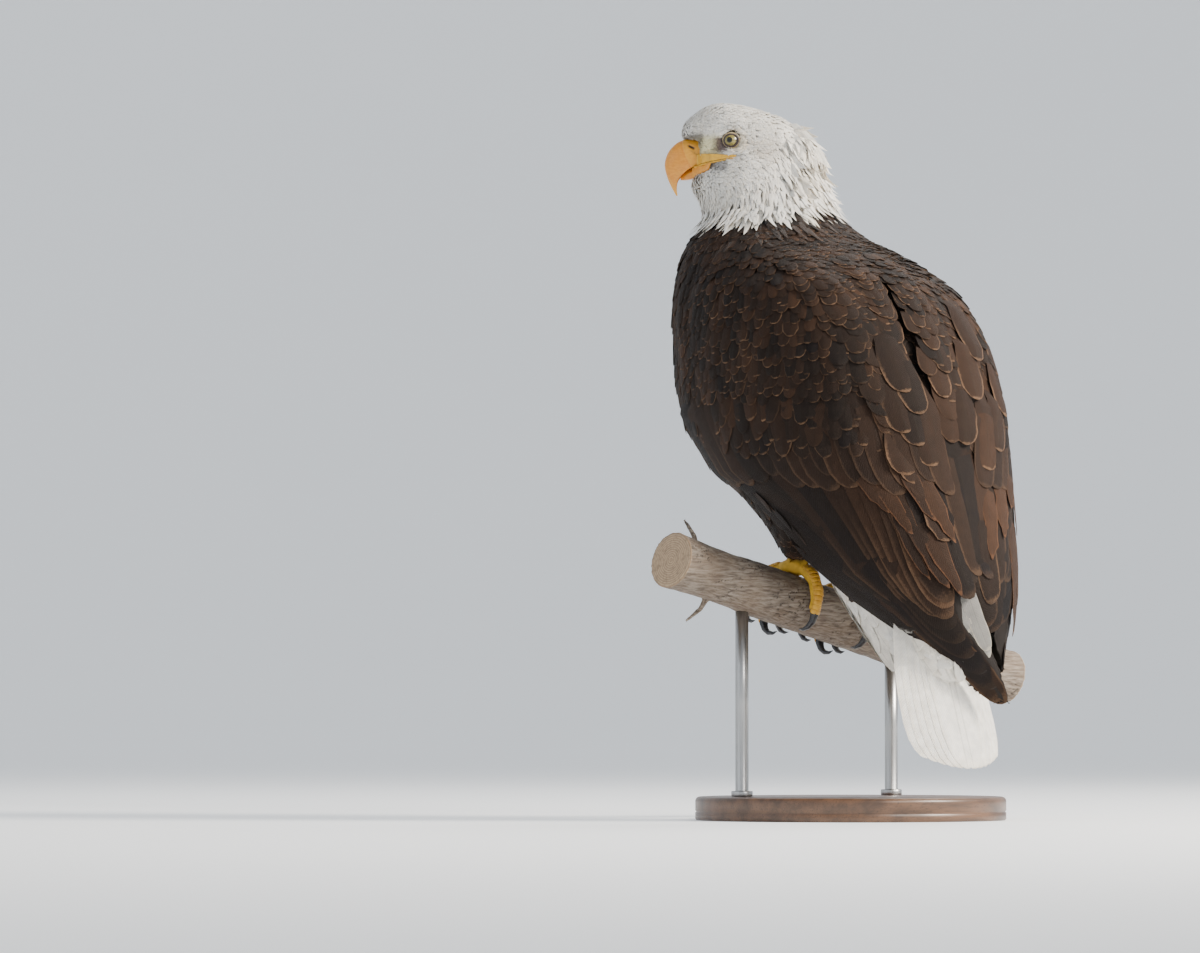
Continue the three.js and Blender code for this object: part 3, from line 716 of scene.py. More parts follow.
class Coat:
    """The feathers of one piece, gathered as closed thin vanes."""

    def __init__(self, name, vane=PLAIN_VANE):
        top, under = vane
        self.name = name
        self.columns = np.array(top + under, float)
        self.is_top = np.array([1] * len(top) + [0] * len(under))
        self.rims = (0, len(top) - 1)
        self.verts, self.quads, self.caps, self.uv = [], [], [], []
        self.fields = {"lie": [], "barb": [], "tint": [], "edge_tint": []}
        self.count = 0

    def section(self, half, camber=0.14, thick=0.4, fray=0.05, bend=None, inner=1.0, outer=1.0, tilt=0.0):
        """How far each column of the vanes lies to the side of its centre line, above it and along it."""
        u = self.columns
        fringe = 1 + fray * RANDOM.normal(size=half.shape + (2,))
        left = (half * fringe[:, :, 0] * inner)[:, :, None] * np.where(u < 0, u, 0)
        right = (half * fringe[:, :, 1] * outer)[:, :, None] * np.where(u > 0, u, 0)
        lateral = left + right
        height = -camber * half[:, :, None] * u**2 - (1 - self.is_top) * thick + tilt * lateral
        if bend is not None:
            height = height - lateral**2 / (2 * bend[:, :, None])
        pull = RANDOM.normal(size=half.shape + (1,)) * (np.abs(u) > 0.9) * fray * 1.2 * half[:, :, None]
        return lateral, height, pull

    def add(self, centre, along, normal, width, form, tint, edge, root_uv, **shape):
        """Vanes along centre lines (n, s, 3), with their directions and normals."""
        shares, outline = np.asarray(form)
        half = width[:, None] / 2 * outline[None, :]
        lateral, height, pull = self.section(half, **shape)
        side = unit(np.cross(normal, along))
        place = centre[:, :, None] + side[:, :, None] * lateral[..., None]
        place = place + normal[:, :, None] * height[..., None] + along[:, :, None] * pull[..., None]
        n, s, m = lateral.shape
        self.add_faces(n, s, m)
        self.verts.append(place.reshape(-1, 3))
        seed = RANDOM.random(n)[:, None, None]
        across, far = self.columns, shares[None, :, None]
        lie = np.stack(np.broadcast_arrays(across, far, seed), -1)
        self.fields["lie"].append(lie.reshape(-1, 3))
        length = np.linalg.norm(np.diff(centre, axis=1), axis=2).sum(1)[:, None, None]
        self.fields["barb"].append((far * length - 1.1 * np.abs(lateral) + seed * 50).ravel())
        for name, colour in (("tint", np.hstack([tint, np.ones((n, 1))])), ("edge_tint", edge)):
            self.fields[name].append(np.repeat(colour, s * m, axis=0))
        patch = np.stack([lie[..., 0] * 0.5, lie[..., 1] - 0.5], -1) * BAKE_PATCH
        self.uv.append((root_uv[:, None, None] + patch).reshape(-1, 2))

    def add_faces(self, n, s, m):
        """The faces of n vanes of s rings with m points each, with a cap at either end."""
        base = self.count + np.arange(n)[:, None, None] * s * m
        i, j = np.meshgrid(np.arange(s - 1), np.arange(m), indexing="ij")
        k = (j + 1) % m
        quads = np.stack([i * m + j, (i + 1) * m + j, (i + 1) * m + k, i * m + k], -1)
        caps = np.stack([np.arange(m), (s - 1) * m + np.arange(m)[::-1]])
        self.quads.append((quads.reshape(1, -1, 4) + base).reshape(-1, 4))
        self.caps.append((caps[None] + base).reshape(-1, m))
        self.count += n * s * m

    def finish(self, material, replaces=()):
        polys = [np.vstack(self.quads), np.vstack(self.caps)]
        mesh = write_mesh(self.name, np.vstack(self.verts), polys)
        for name, values in self.fields.items():
            add_attribute(mesh, name, np.concatenate(values))
        corners = np.concatenate([p.ravel() for p in polys])
        layer = mesh.uv_layers.new(name="OFBake")
        layer.data.foreach_set("uv", np.vstack(self.uv)[corners].astype(np.float32).ravel())
        edges = np.empty(len(mesh.edges) * 2, np.int32)
        mesh.edges.foreach_get("vertices", edges)
        column = edges.reshape(-1, 2) % len(self.columns)
        sharp = (column[:, 0] == column[:, 1]) & np.isin(column[:, 0], self.rims)
        mesh.attributes.new("sharp_edge", "BOOLEAN", "EDGE").data.foreach_set("value", sharp)
        piece(self.name, mesh, material, replaces)


def walk(guide, roots, lengths, shares, wobble):
    """Centre lines that run from their roots along the lie of the coat: places, directions and normals."""
    place, tri, weights = guide.find(roots)
    turn = np.radians(RANDOM.normal(scale=wobble, size=len(roots)))[:, None]
    places, ways, normals = [], [], []
    for step in range(len(shares)):
        normal = unit(guide.mix(guide.normals, tri, weights))
        way = square_to(guide.mix(guide.flow, tri, weights), normal)
        way = way * np.cos(turn) + np.cross(normal, way) * np.sin(turn)
        places.append(place)
        ways.append(way)
        normals.append(normal)
        if step + 1 < len(shares):
            ahead = place + way * (lengths * (shares[step + 1] - shares[step]))[:, None]
            place, tri, weights = guide.find(ahead)
    return np.stack(places, 1), np.stack(ways, 1), np.stack(normals, 1)


def lay(coat, guide, roots, length, width, form, shingle, lift=0.0, jitter=0.3, wobble=5.0, tip=0.0,
        colours=(None, None), **shape):
    """Feathers rooted in the skin that come up to the outline of the coat and lie on one another like tiles.

    A root lies lower than the tip by the shingle. The tip may stand out further by its own height.
    """
    v = np.asarray(form[0])
    centre, along, normal = walk(guide, roots, length, form[0], wobble)
    out = ramp(v, -0.05, 0.36)
    sunk = (coat_depth(roots) + 0.4)[:, None] * (1 - out)
    raised = (RANDOM.normal(scale=jitter, size=len(roots)) + lift)[:, None] * out
    level = -sunk - np.reshape(shingle, (-1, 1)) * (1 - v) + raised + np.reshape(tip, (-1, 1)) * v**3
    centre = centre + normal * level[..., None]
    along = unit(np.gradient(centre, axis=1))
    own = coat_colour(roots, varied=True)
    tint, edge = (given if given is not None else usual for given, usual in zip(colours, own))
    coat.add(centre, along, square_to(normal, along), width, form, tint, edge, bake_place(roots), **shape)


# ---------------------------------------------------------------- the guides

RANDOM = np.random.default_rng(SEED)
torso = Guide(BODY, 3.6, 6)
envelope = Guide(BODY + WINGS, 3.6, 5)
back = Guide(BODY + WINGS, 5.0, 16, BACK_FILLER)


def unwrap_guide():
    """A coarse copy of the skin's shape with its islands laid out flat: points, quads, corners' UV, tree."""
    verts, quads = fused(FLESH, 9.0, 3)
    mesh = write_mesh("unwrap", verts, [quads])
    obj = add_object("unwrap", mesh)
    bpy.context.view_layer.objects.active = obj
    obj.select_set(True)
    bpy.ops.object.mode_set(mode="EDIT")
    bpy.ops.mesh.select_all(action="SELECT")
    bpy.ops.uv.smart_project(angle_limit=math.radians(66), island_margin=0.012)
    bpy.ops.object.mode_set(mode="OBJECT")
    uv = np.empty(len(mesh.loops) * 2, np.float32)
    mesh.uv_layers.active.data.foreach_get("uv", uv)
    bpy.data.objects.remove(obj)
    bpy.data.meshes.remove(mesh)
    tree = BVHTree.FromPolygons(verts.tolist(), quads.tolist())
    return verts, quads, uv.reshape(-1, 4, 2).astype(float), tree


UNWRAP = unwrap_guide()


def bake_place(points):
    """Each root's place on the unwrap of the skin."""
    verts, quads, corner_uv, tree = UNWRAP
    found = [tree.find_nearest(p) for p in points.tolist()]
    place = np.array([f[0] for f in found])
    face = np.array([f[2] for f in found])
    near = np.linalg.norm(verts[quads[face]] - place[:, None], axis=2)
    weight = 1 / (near + 0.5) ** 2
    weight /= weight.sum(1, keepdims=True)
    return (corner_uv[face] * weight[..., None]).sum(1)


# ---------------------------------------------------------------- the skin

def coat_depth(p):
    """How far the skin lies below the outline of the coat."""
    head = 2.3 + 2.2 * ramp(from_bill(p), 40, 105)
    head = head + (2.2 - head) * ramp(from_eye(p), 17, 13)
    body = 6 + 7.5 * valley(p, 13)
    return body + (head - body) * ramp(above(p, NECK_TOP), -20, 10)


def skin_tint(verts, bare, on_wing):
    """The coat's own markings, and the colours of the feet, of the lids' surrounds and under the wings."""
    tint, _ = coat_colour(verts)
    tint = tint + (BROWN * 0.8 - tint) * (on_wing * ramp(verts[:, 2], 640, 600))[:, None]
    tint = tint * (1 - bare[:, None]) + FOOT_SKIN * bare[:, None]
    rim = (ramp(from_eye(verts), 11.5, 10.0) * ramp(above(verts, NECK_TOP), 0, 12))[:, None]
    rim_tint = np.where((head_place(verts)[0] > 4)[:, None], LID * 2, CREAM * 0.7)
    return tint * (1 - rim) + rim_tint * rim


def build_skin():
    """The one skin under the coat, inset from the CAD's outline by the coat's depth."""
    verts, quads = fused(FLESH, 2.8, 4, BACK_FILLER)
    tris = split_quads(quads)
    normals = vertex_normals(verts, tris)
    tree = BVHTree.FromPolygons(verts.tolist(), tris.tolist())
    starts = (verts - normals * 0.3).tolist()
    thick = np.array([tree.ray_cast(p, d)[3] or 60.0 for p, d in zip(starts, (-normals).tolist())])
    on_wing = ramp(np.linalg.norm(verts - torso.find(verts)[0], axis=1), 2.0, 5.0)
    depth = np.minimum(coat_depth(verts), (0.34 + 0.12 * on_wing) * spread(thick, tris, 2))
    bare = bare_share(verts)
    verts = verts - normals * (spread(depth, tris, 5) * (1 - bare))[:, None]
    mesh = write_mesh("skin", verts, [quads])
    add_attribute(mesh, "tint", np.hstack([skin_tint(verts, bare, on_wing), np.ones((len(verts), 1))]))
    piece("skin", mesh, skin_material(), FLESH)


# ---------------------------------------------------------------- the coat of the head and neck

def mouth_height(forward):
    """The line of the closed mouth on the side of the head, from the bill back past the gape."""
    return np.interp(forward, [-22, -8, 12.4, 24.3, 40.5], [-20.2, -21.3, -24.3, -26.0, -29.0])


def wedge_top(forward):
    """The upper edge of the yellow skin above the mouth, from the cere back to the bead below the eye."""
    return np.interp(forward, [-6.0, 8.7, 22.1, 36.0], [-19.6, -18.7, -17.5, -16.2])


def jaw_under(forward):
    """The lower edge of the horn that sheathes the jaw's side."""
    return -33.2 - 0.42 * (forward - 21)


def off_face(p):
    """Where head feathers grow: not on the bill, its cere and gape, nor on the lids."""
    f, l, u = head_place(p)
    bill = (f > 33 - 3 * ramp(np.abs(l), 0, 16)) & (u < 2.0) & (u > -31) & (np.abs(l) < 19)
    under = np.where(f > 21, jaw_under(f) - 0.5, mouth_height(f) - 2.2)
    gape_skin = (u > under) & (u < wedge_top(f) + 1.0) & (f > -9) & (f < 40) & (np.abs(l) > 8)
    return ~bill & ~gape_skin & (from_eye(p) > 9.2)


def head_lift(p):
    """How far the coat stands out on crown, chin and brow, and lies closer at the throat and nape."""
    f, l, u = head_place(p)
    lift = 1.2 * ramp(u, 12, 30) * ramp(f, 52, 38) * ramp(f, -42, 0)
    lift = lift - 1.6 * ramp(f, -25, -50) * ramp(u, -8, 10)
    lift = lift + 1.8 * ramp(f, 32, 48) * ramp(u, -1, 9) * ramp(u, 28, 14) + 3.2 * chin(f, l, u)
    lift = lift - 1.5 * hump(u, -84, 14) * ramp(f, 0, 18) - 3.5 * hump(u, -82, 16) * ramp(f, -85, -105)
    brow_line = 9.8 - 0.021 * (f - 1) ** 2
    brow = 2.3 * hump(u, brow_line + 0.8, 2.6) * ramp(np.abs(l), 12, 20)
    return lift + brow * ramp(f, -17, -9) * ramp(f, 22, 13)


def head_length(p):
    """The length of head feathers, growing away from the bill."""
    return 3.4 + 0.085 * from_bill(p) + 4.0 * ramp(from_bill(p), 84, 135)


def head_spacing(p):
    return (0.285 - 0.05 * ramp(from_bill(p), 45, 25)) * head_length(p)


def lay_head():
    for name, near, far in (("feathers_face", 0, 62), ("feathers_crown", 62, 400)):
        def keep(p):
            return (above(p, NECK_TOP) > -12) & off_face(p) & (from_bill(p) >= near) & (from_bill(p) < far)

        coat = Coat(name, FINE_VANE)
        roots = envelope.scatter(keep, head_spacing)
        length = head_length(roots) * RANDOM.uniform(0.85, 1.25, len(roots))
        before_eye = (head_place(roots)[0] > EYE_AHEAD) & (from_eye(roots) < 17)
        short = np.minimum(length, np.maximum(from_eye(roots) - 8.2, 2.0))
        length = np.where(before_eye, short, length)
        width = (0.45 - 0.17 * ramp(from_bill(roots), 75, 130)) * np.maximum(length, 3.4)
        lay(coat, envelope, roots, length, width, SMALL, 0.13 * length, lift=head_lift(roots),
            jitter=0.12, wobble=6, camber=0.18, thick=0.15)
        coat.finish(WHITE_VANE)


def lay_hackles(coat):
    """Narrow pointed feathers all over the neck, white down to a ragged collar and dark below it."""
    def keep(p):
        return (above(p, NECK_TOP) < 12) & (above(p, NECK_BASE) > -4) & (p[:, 2] > 560)

    roots = envelope.scatter(keep, lambda p: 3.5 - 0.4 * ramp(around(p), 20, -20))
    down = ramp(above(roots, NECK_TOP), 10, -50)
    nape = ramp(around(roots), 0, 60)
    length = (15 + 19 * down) * RANDOM.uniform(0.8, 1.35, len(roots))
    stray = RANDOM.random(len(roots)) < 0.10
    lift = 0.2 + nape * np.where(stray, 3.0, 0.6) - 1.2 * (is_white(roots) < 0.5) + head_lift(roots)
    lay(coat, envelope, roots, length, 0.13 * length + 2.2, POINTED, 2.4, lift=lift,
        jitter=0.5, wobble=7, camber=0.2, thick=0.25, fray=0.06)


def lay_collar(coat):
    """The collar's own long white points, over the dark feathers below it."""
    def keep(p):
        return (above(p, NECK_BASE) > 13) & (above(p, NECK_BASE) < 24) & (p[:, 2] > 560)

    roots = envelope.scatter(keep, 5.4)
    n = len(roots)
    length = 24 + 26 * RANDOM.random(n) ** 1.6
    tip = RANDOM.uniform(0, 2.0, n)
    tint = np.clip(WHITE * RANDOM.normal(1, 0.03, (n, 1)), 0, 0.9)
    lay(coat, envelope, roots, length, 0.06 * length + 3.2, POINTED, 1.2, lift=3.4 + head_lift(roots),
        jitter=0.5, wobble=9, tip=tip, colours=(tint, None), camber=0.25, thick=0.3, fray=0.06)


def lay_loose_hackles(coat):
    """Loose hackles that stand out from the nape."""
    def keep(p):
        f, _, u = head_place(p)
        return (above(p, NECK_BASE) > 16) & (f < -60) & (u < 22)

    roots = envelope.scatter(keep, 8.0)
    n = len(roots)
    length = RANDOM.uniform(20, 32, n)
    tip = 3 + 9 * RANDOM.random(n) ** 1.3
    tilt = RANDOM.choice([-1, 1], (n, 1, 1)) * RANDOM.uniform(0.5, 1.2, (n, 1, 1))
    lay(coat, envelope, roots, length, 0.10 * length + 3.0, POINTED, 1.0, lift=1.0 + head_lift(roots),
        jitter=0.4, wobble=13, tip=tip, tilt=tilt, camber=0.2, thick=0.25, fray=0.06)


def lay_neck():
    coat = Coat("feathers_neck", FINE_VANE)
    lay_hackles(coat)
    lay_collar(coat)
    lay_loose_hackles(coat)
    coat.finish(WHITE_VANE)


# ---------------------------------------------------------------- the coat of the body

def front_edge(z):
    """The angle of the folded wing's front edge."""
    return np.interp(z, WING_ROWS[:, 0], WING_ROWS[:, 5])


def plain_body(p):
    """Whether a point is on the brown body, clear of the wings, tail coverts and naked legs."""
    z = p[:, 2]
    under_wing = (z > 300) & (z < 606) & (around(p) > front_edge(z) - 2)
    return (above(p, NECK_BASE) < 8) & ~under_wing & (covert_share(p) < 0.5) & (bare_share(p) < 0.4)


def body_size(p):
    """The length of the body's feathers, longer down the breast and shorter on the thighs."""
    return (29 + 14 * ramp(p[:, 2], 620, 380)) * (1 - 0.25 * thigh_share(p))


def lay_body():
    """Breast, belly, flanks and thighs."""
    def high(p):
        on_back = (around(p) > scapular_edge(p[:, 2]) - 8) & (p[:, 2] > 360)
        return plain_body(p) & (p[:, 2] > 330) & ~on_back

    def low(p):
        return plain_body(p) & (p[:, 2] <= 336)

    coat = Coat("feathers_body")
    for guide, keep in ((envelope, high), (torso, low)):
        roots = guide.scatter(keep, lambda p: 0.24 * body_size(p))
        length = body_size(roots) * RANDOM.uniform(0.88, 1.15, len(roots))
        lay(coat, guide, roots, length, 0.47 * length, ROUND, 2.8,
            jitter=0.4, wobble=6, fray=0.06, thick=0.3)
    coat.finish(VANE)


# The longest tail coverts, between the tips of the folded wings: angle and height of root and of tip, and
# width, as on the left wing.
LONG_COVERTS = [
    (38, 268, 50, 216, 22), (46, 268, 57, 208, 22), (54, 268, 63, 196, 22),
    (61, 268, 69, 182, 22), (68, 268, 75, 170, 22), (75, 268, 80, 178, 22),
]


def lay_tail_coverts():
    """Long soft white feathers above and below the root of the tail."""
    def keep(p):
        return (covert_share(p) >= 0.5) & (p[:, 2] > 172)

    def size(p):
        return 52 + 34 * ramp(p[:, 2], 290, 200)

    coat = Coat("feathers_tail_coverts", BROAD_VANE)
    roots = torso.scatter(keep, lambda p: 0.125 * size(p))
    wings = [solid(name) for name in WINGS]
    clear = [q[2] > 250 or min(w.find_nearest(q)[3] for w in wings) > 9 for q in roots.tolist()]
    roots = roots[clear]
    length = size(roots) * RANDOM.uniform(0.85, 1.1, len(roots))
    length = np.minimum(length, np.maximum((roots[:, 2] - 148) / 0.9, 16))
    pressed = -3.5 * ramp(roots[:, 2], 270, 205) * ramp(roots[:, 1], 90, 135)
    lay(coat, torso, roots, length, 0.36 * length + 4, ROUND, 3.4, lift=pressed,
        jitter=0.4, wobble=4, fray=0.05, camber=0.1)
    n = len(LONG_COVERTS)
    # Painted shade: these white coverts between the wing tips get a grey tint, darker row by row towards the
    # right wing.
    tint = WHITE * RANDOM.uniform(0.28, 0.42, (n, 1)) * np.linspace(1.0, 0.6, n)[:, None]
    edge = np.hstack([np.broadcast_to(CREAM, (n, 3)), np.full((n, 1), 0.2)])
    lay_flight(coat, "left", LONG_COVERTS, (-6.0, -2.9 + 0.1 * np.arange(n)), (tint, edge),
               inner=1.0, outer=1.0, form=BROAD_LONG, sink=3)
    coat.finish(WHITE_VANE)


# The longest scapulars, highest last: angle and height of root and of tip, and width.
LONG_SCAPULARS = {
    "left": [
        (72, 445, 77, 370, 36), (68, 466, 71.6, 391, 37), (63, 474, 66, 404, 35), (70, 498, 73.4, 424, 34),
        (65.5, 522, 69.4, 446, 36),
    ],
    "right": [
        (76, 446, 80, 368, 42), (68, 462, 70, 388, 38), (88, 470, 89.6, 393, 38), (58, 500, 61, 426, 36),
        (80, 520, 82.6, 441, 38), (50, 545, 52.6, 469, 36), (72, 560, 74.9, 483, 36),
    ],
}


def back_growth(p):
    """0 by the neck, 1 where the scapulars are longest."""
    return ramp(p[:, 2], 625, 430)


def back_size(p):
    return 24 + 50 * back_growth(p)


def on_back(p):
    """Whether a point is where mantle and scapulars grow."""
    z = p[:, 2]
    lowest = 392 - 36 * ramp(around(p), 60, 78)
    return (around(p) > scapular_edge(z) - 7) & (z > lowest) & (above(p, NECK_BASE) < 6)


def lay_back(coat, keep, share, dress):
    """Feathers of the mantle of a share of their full size, with the lift and colours that dress gives."""
    roots = back.scatter(keep, lambda p: 0.185 * share * back_size(p))
    length = share * back_size(roots) * RANDOM.uniform(0.88, 1.12, len(roots))
    lift, colours = dress(roots, *coat_colour(roots, varied=True))
    lay(coat, back, roots, length, 0.50 * length, ROUND, 3.0 + 1.2 * back_growth(roots), lift=lift,
        jitter=0.4, wobble=4, colours=colours, fray=0.05, camber=0.14)


def furrow_dress_painted_shade(roots, tint, edge):
    """Sunk, and darkened with painted shade: a darker tint and fainter pale edges in the furrow, more so
    down the back.
    """
    # Painted shade: the furrow's tint is darkened and its pale edges weakened as if the furrow lay in
    # shadow.
    dark = ramp(roots[:, 2], 605, 530)[:, None]
    lift = -7.0 * valley(roots, 16) * (0.3 + 0.7 * dark[:, 0])
    return lift, ((1 - 0.62 * dark) * tint, edge * [1, 1, 1, 0.3])


def ridge_dress(roots, tint, edge):
    """Raised along the furrow's two banks."""
    banks = 2.0 + 3.0 * hump(valley_gap(roots), 22, 15)
    return banks * ramp(above(roots, NECK_BASE), 6, -45), (tint, edge)


def lay_scapulars():
    """Mantle and scapulars: small by the neck, growing down each shoulder's ridge."""
    def in_furrow(p):
        return on_back(p) & (valley(p, 22) > 0.3)

    def on_ridges(p):
        return on_back(p) & (valley_gap(p) > (4 + 0.24 * back_size(p)) * ramp(p[:, 2], 612, 530))

    coat = Coat("feathers_back", BROAD_VANE)
    lay_back(coat, in_furrow, 0.62, furrow_dress_painted_shade)
    lay_back(coat, on_ridges, 1.0, ridge_dress)
    for side, rows in LONG_SCAPULARS.items():
        order = np.arange(len(rows))
        # The right side's extra rufous warmth (0.10 against 0.06) is painted light: the right scapulars are
        # warmer as if lit by the sun.
        colours = dark_tint(len(rows), 0.06 if side == "left" else 0.10, 0.55)
        lay_flight(coat, side, rows, (0.4 + 0.3 * order, 2.4 + 0.35 * order), colours,
                   inner=1.1, outer=0.9, form=SCAPULAR, sink=8, camber=0.12, tilt=0.05, fray=0.03)
    coat.finish(VANE)


# ---------------------------------------------------------------- the folded wings

# Bands of the wing's small coverts: lowest and highest root, length, width, spacing and lift.
COVERT_BANDS = [(470, 612, 34, 16, 7.6, 0.8), (432, 476, 54, 23, 10.5, 0.3)]


def lay_coverts():
    """Lesser and median coverts of the folded wing."""
    def on_wing(p, low, high):
        phi, z = around(p), p[:, 2]
        return (z > low) & (z < high) & (phi > front_edge(z) - 3) & (phi < scapular_edge(z) + 7)

    def along_front(p):
        return on_wing(p, 308, 440) & (around(p) < front_edge(p[:, 2]) + 15)

    coat = Coat("feathers_wing_coverts")
    small = {"jitter": 0.3, "wobble": 4, "fray": 0.05, "thick": 0.3}
    for low, high, long, wide, gap, raised in COVERT_BANDS:
        roots = envelope.scatter(lambda p: on_wing(p, low, high), gap)
        length = long * RANDOM.uniform(0.9, 1.12, len(roots)) * (0.72 + 0.28 * ramp(roots[:, 2], 612, 560))
        lay(coat, envelope, roots, length, wide / long * length, ROUND, 2.6, lift=raised, **small)
    roots = envelope.scatter(along_front, 8.5)
    length = 42 * RANDOM.uniform(0.88, 1.15, len(roots))
    lay(coat, envelope, roots, length, 0.44 * length, ROUND, 2.6, lift=0.8, **small)
    coat.finish(VANE)


def wing_surface(side, phi, z):
    """A point on the folded wing's outer face."""
    rows = rows_of(side)
    xc, yc, hx, hy = (np.interp(z, rows[:, 0], rows[:, k]) for k in (1, 2, 3, 4))
    c, s = np.cos(np.radians(phi)), np.sin(np.radians(phi))
    power = 2 / WING_POWER
    x = xc + hx * np.sign(c) * np.abs(c) ** power
    y = yc + hy * np.sign(s) * np.abs(s) ** power
    return np.stack([SIGN[side] * x, y, z], -1)


def wing_normal(side, phi, z):
    """The way out from the folded wing's outer face."""
    step = 3.0
    across = wing_surface(side, phi + step, z) - wing_surface(side, phi - step, z)
    upwards = wing_surface(side, phi, z + step) - wing_surface(side, phi, z - step)
    return unit(np.cross(across, upwards)) * SIGN[side]


def lay_flight(coat, side, rows, levels, colours, inner=1.25, outer=0.75, form=LONG, sink=5.0, rise=0.25,
               camber=0.05, tilt=0.07, fray=0.015):
    """Big feathers over the folded wing.

    Each row holds angle and height of root and of tip, and the width. The levels are those of the roots and
    of the tips above the wing; a root goes down by the sink to come up again within the rise.
    """
    v = np.asarray(form[0])[None, :]
    root_phi, root_z, tip_phi, tip_z, width = np.asarray(rows, float).T[:, :, None]
    root_level, tip_level = (np.broadcast_to(level, len(rows))[:, None] for level in levels)
    phi = root_phi + (tip_phi - root_phi) * v
    z = root_z + (tip_z - root_z) * v
    surface = rows_of(side)
    if side == "right":
        # The left wing's tip reaches lower than the right's, and the rows are given for the left.
        lowest, left_lowest = surface[0, 0], WING_TIPS["left"][0][0]
        z = np.where(z < 270, 270 - (270 - z) * (270 - lowest) / (270 - left_lowest), z)
    height = root_level + (tip_level - root_level) * v - sink * (1 - ramp(v, 0, rise))
    normal = wing_normal(side, phi, z)
    centre = wing_surface(side, phi, z) + normal * height[..., None]
    along = unit(np.gradient(centre, axis=1))
    half_wide, half_deep = (np.interp(z, surface[:, 0], surface[:, k]) for k in (3, 4))
    radius = np.clip((half_wide + half_deep) / 2, 70, 170)
    if side == "right":
        inner, outer = outer, inner
    coat.add(centre, along, square_to(normal, along), width[:, 0], form, *colours, bake_place(centre[:, 2]),
             camber=camber, thick=0.5, fray=fray, bend=radius, inner=inner, outer=outer,
             tilt=-SIGN[side] * tilt)


# Worn feathers that hang loose over each folded wing: angle and height of root and of tip, and width.
WORN = {
    "left": [
        (38, 405, 45, 321, 18), (46, 398, 52, 298, 18), (50, 380, 56, 271, 18), (47, 372, 51, 252, 15),
        (61, 405, 67, 312, 19), (67, 400, 75, 289, 21), (57, 355, 61, 243, 22), (63, 350, 68, 236, 21),
    ],
    "right": [
        (80, 396, 85, 273, 26), (72, 394, 73, 296, 25), (60, 400, 62, 328, 26), (47, 398, 50, 300, 26),
        (62, 405, 56, 172, 31), (54, 380, 50, 215, 28),
    ],
}
# The primaries' rows, outermost first; the last four lie along the right wing's inner edge.
PRIMARIES = [
    (-24, 318, 10, 170, 38), (-18, 319, 24, 151, 38), (-12, 320, 37, 135, 38), (-6, 322, 49, 123.5, 38),
    (0, 324, 50, 139, 38), (7, 326, 50, 155, 38), (14, 328, 49, 172, 38), (21, 330, 50, 188, 38),
    (28, 332, 50, 202, 38), (35, 334, 51, 216, 38), (50, 334, 74, 200, 38), (62, 334, 86, 186, 38),
    (74, 334, 95, 176, 38), (86, 334, 102, 182, 38),
]
# The great dark feather that ends the row of the left wing's tertials, and its fellow on the right.
LAST_TERTIAL = {"left": (70, 405, 77, 233, 36), "right": (88, 405, 90, 215, 34)}
HANGING = {"sink": 14, "rise": 0.5}


def dark_tint(n, warm, strength):
    """Brown for n big feathers, each a little different, warm from 0 to 1, and their edges."""
    draw = RANDOM.normal(size=(n, 2))
    tone = BROWN[None] * (0.9 + 0.12 * draw[:, :1])
    warmth = np.broadcast_to(warm, n)[:, None] + 0.04 * draw[:, 1:]
    tone = tone + (RUFOUS - tone) * np.clip(warmth, 0, 1)
    strength = np.clip(np.broadcast_to(strength, n)[:, None] + 0.06 * draw[:, 1:], 0.01, 1)
    return np.clip(tone, 0.004, 1), np.hstack([np.broadcast_to(TAN_EDGE, (n, 3)), strength])


def uneven_rows(roots, tips, widths, angle=0.9, height=4.5):
    """Rows of places from angles and heights of roots and tips, made less even, with widths drawn."""
    roots, tips = (np.stack(np.broadcast_arrays(*part), 1) for part in (roots, tips))
    roots = roots + RANDOM.normal(size=roots.shape) * (0.7, height)
    tips = tips + RANDOM.normal(size=tips.shape) * (angle, height)
    return np.hstack([roots, tips, RANDOM.uniform(*widths, (len(roots), 1))])


def lay_primaries(coat, side):
    """Under all the rest: the outermost is the longest and the lowest in the stack."""
    rows = PRIMARIES[: 10 if side == "left" else None]
    order = np.arange(len(rows))
    levels = (-2.4 + 0.12 * order, -1.0 + 0.06 * order)
    lay_flight(coat, side, rows, levels, dark_tint(len(rows), 0.0, 0.10), tilt=0.09)


def lay_secondaries(coat, side):
    s = np.linspace(0, 1, 13)
    colours = dark_tint(13, 0.01 + 0.06 * s**2, 0.05 + 0.12 * s**2)
    tip_heights = 240 - 25 * np.sin(math.pi * np.minimum(s * 0.75, 0.5)) + 6 * s
    rows = uneven_rows((-26 + 88 * s, 405 + 20 * s), (6 + 50 * s, tip_heights), (36, 44))
    lay_flight(coat, side, rows, (-2.4 + 0.8 * s, -0.4 + 0.6 * s), colours)


def lay_tertials(coat, side):
    """The row towards the back."""
    s = np.linspace(0, 1, 7)
    colours = dark_tint(7, 0.03, 0.14)
    rows = uneven_rows((54 + 36 * s, 446), (58 + 37 * s, 240 + 14 * s), (32, 40), 1.2, 6.0)
    lay_flight(coat, side, rows, (-1.6 + 0.5 * s, 0.5 + 0.3 * s), colours, **HANGING)


def lay_greater_coverts(coat, side):
    """Over the bases of the secondaries."""
    s = np.linspace(0, 1, 19)
    colours = dark_tint(19, 0.02 + 0.05 * s, 0.12)
    rows = uneven_rows((-36 + 113 * s, 462 - 6 * s), (-33 + 115 * s, 358 - 12 * s), (27, 34), 1.0, 5.0)
    lay_flight(coat, side, rows, (-0.8 + 0.3 * s, 0.8 + 0.6 * s), colours, form=BROAD_LONG)


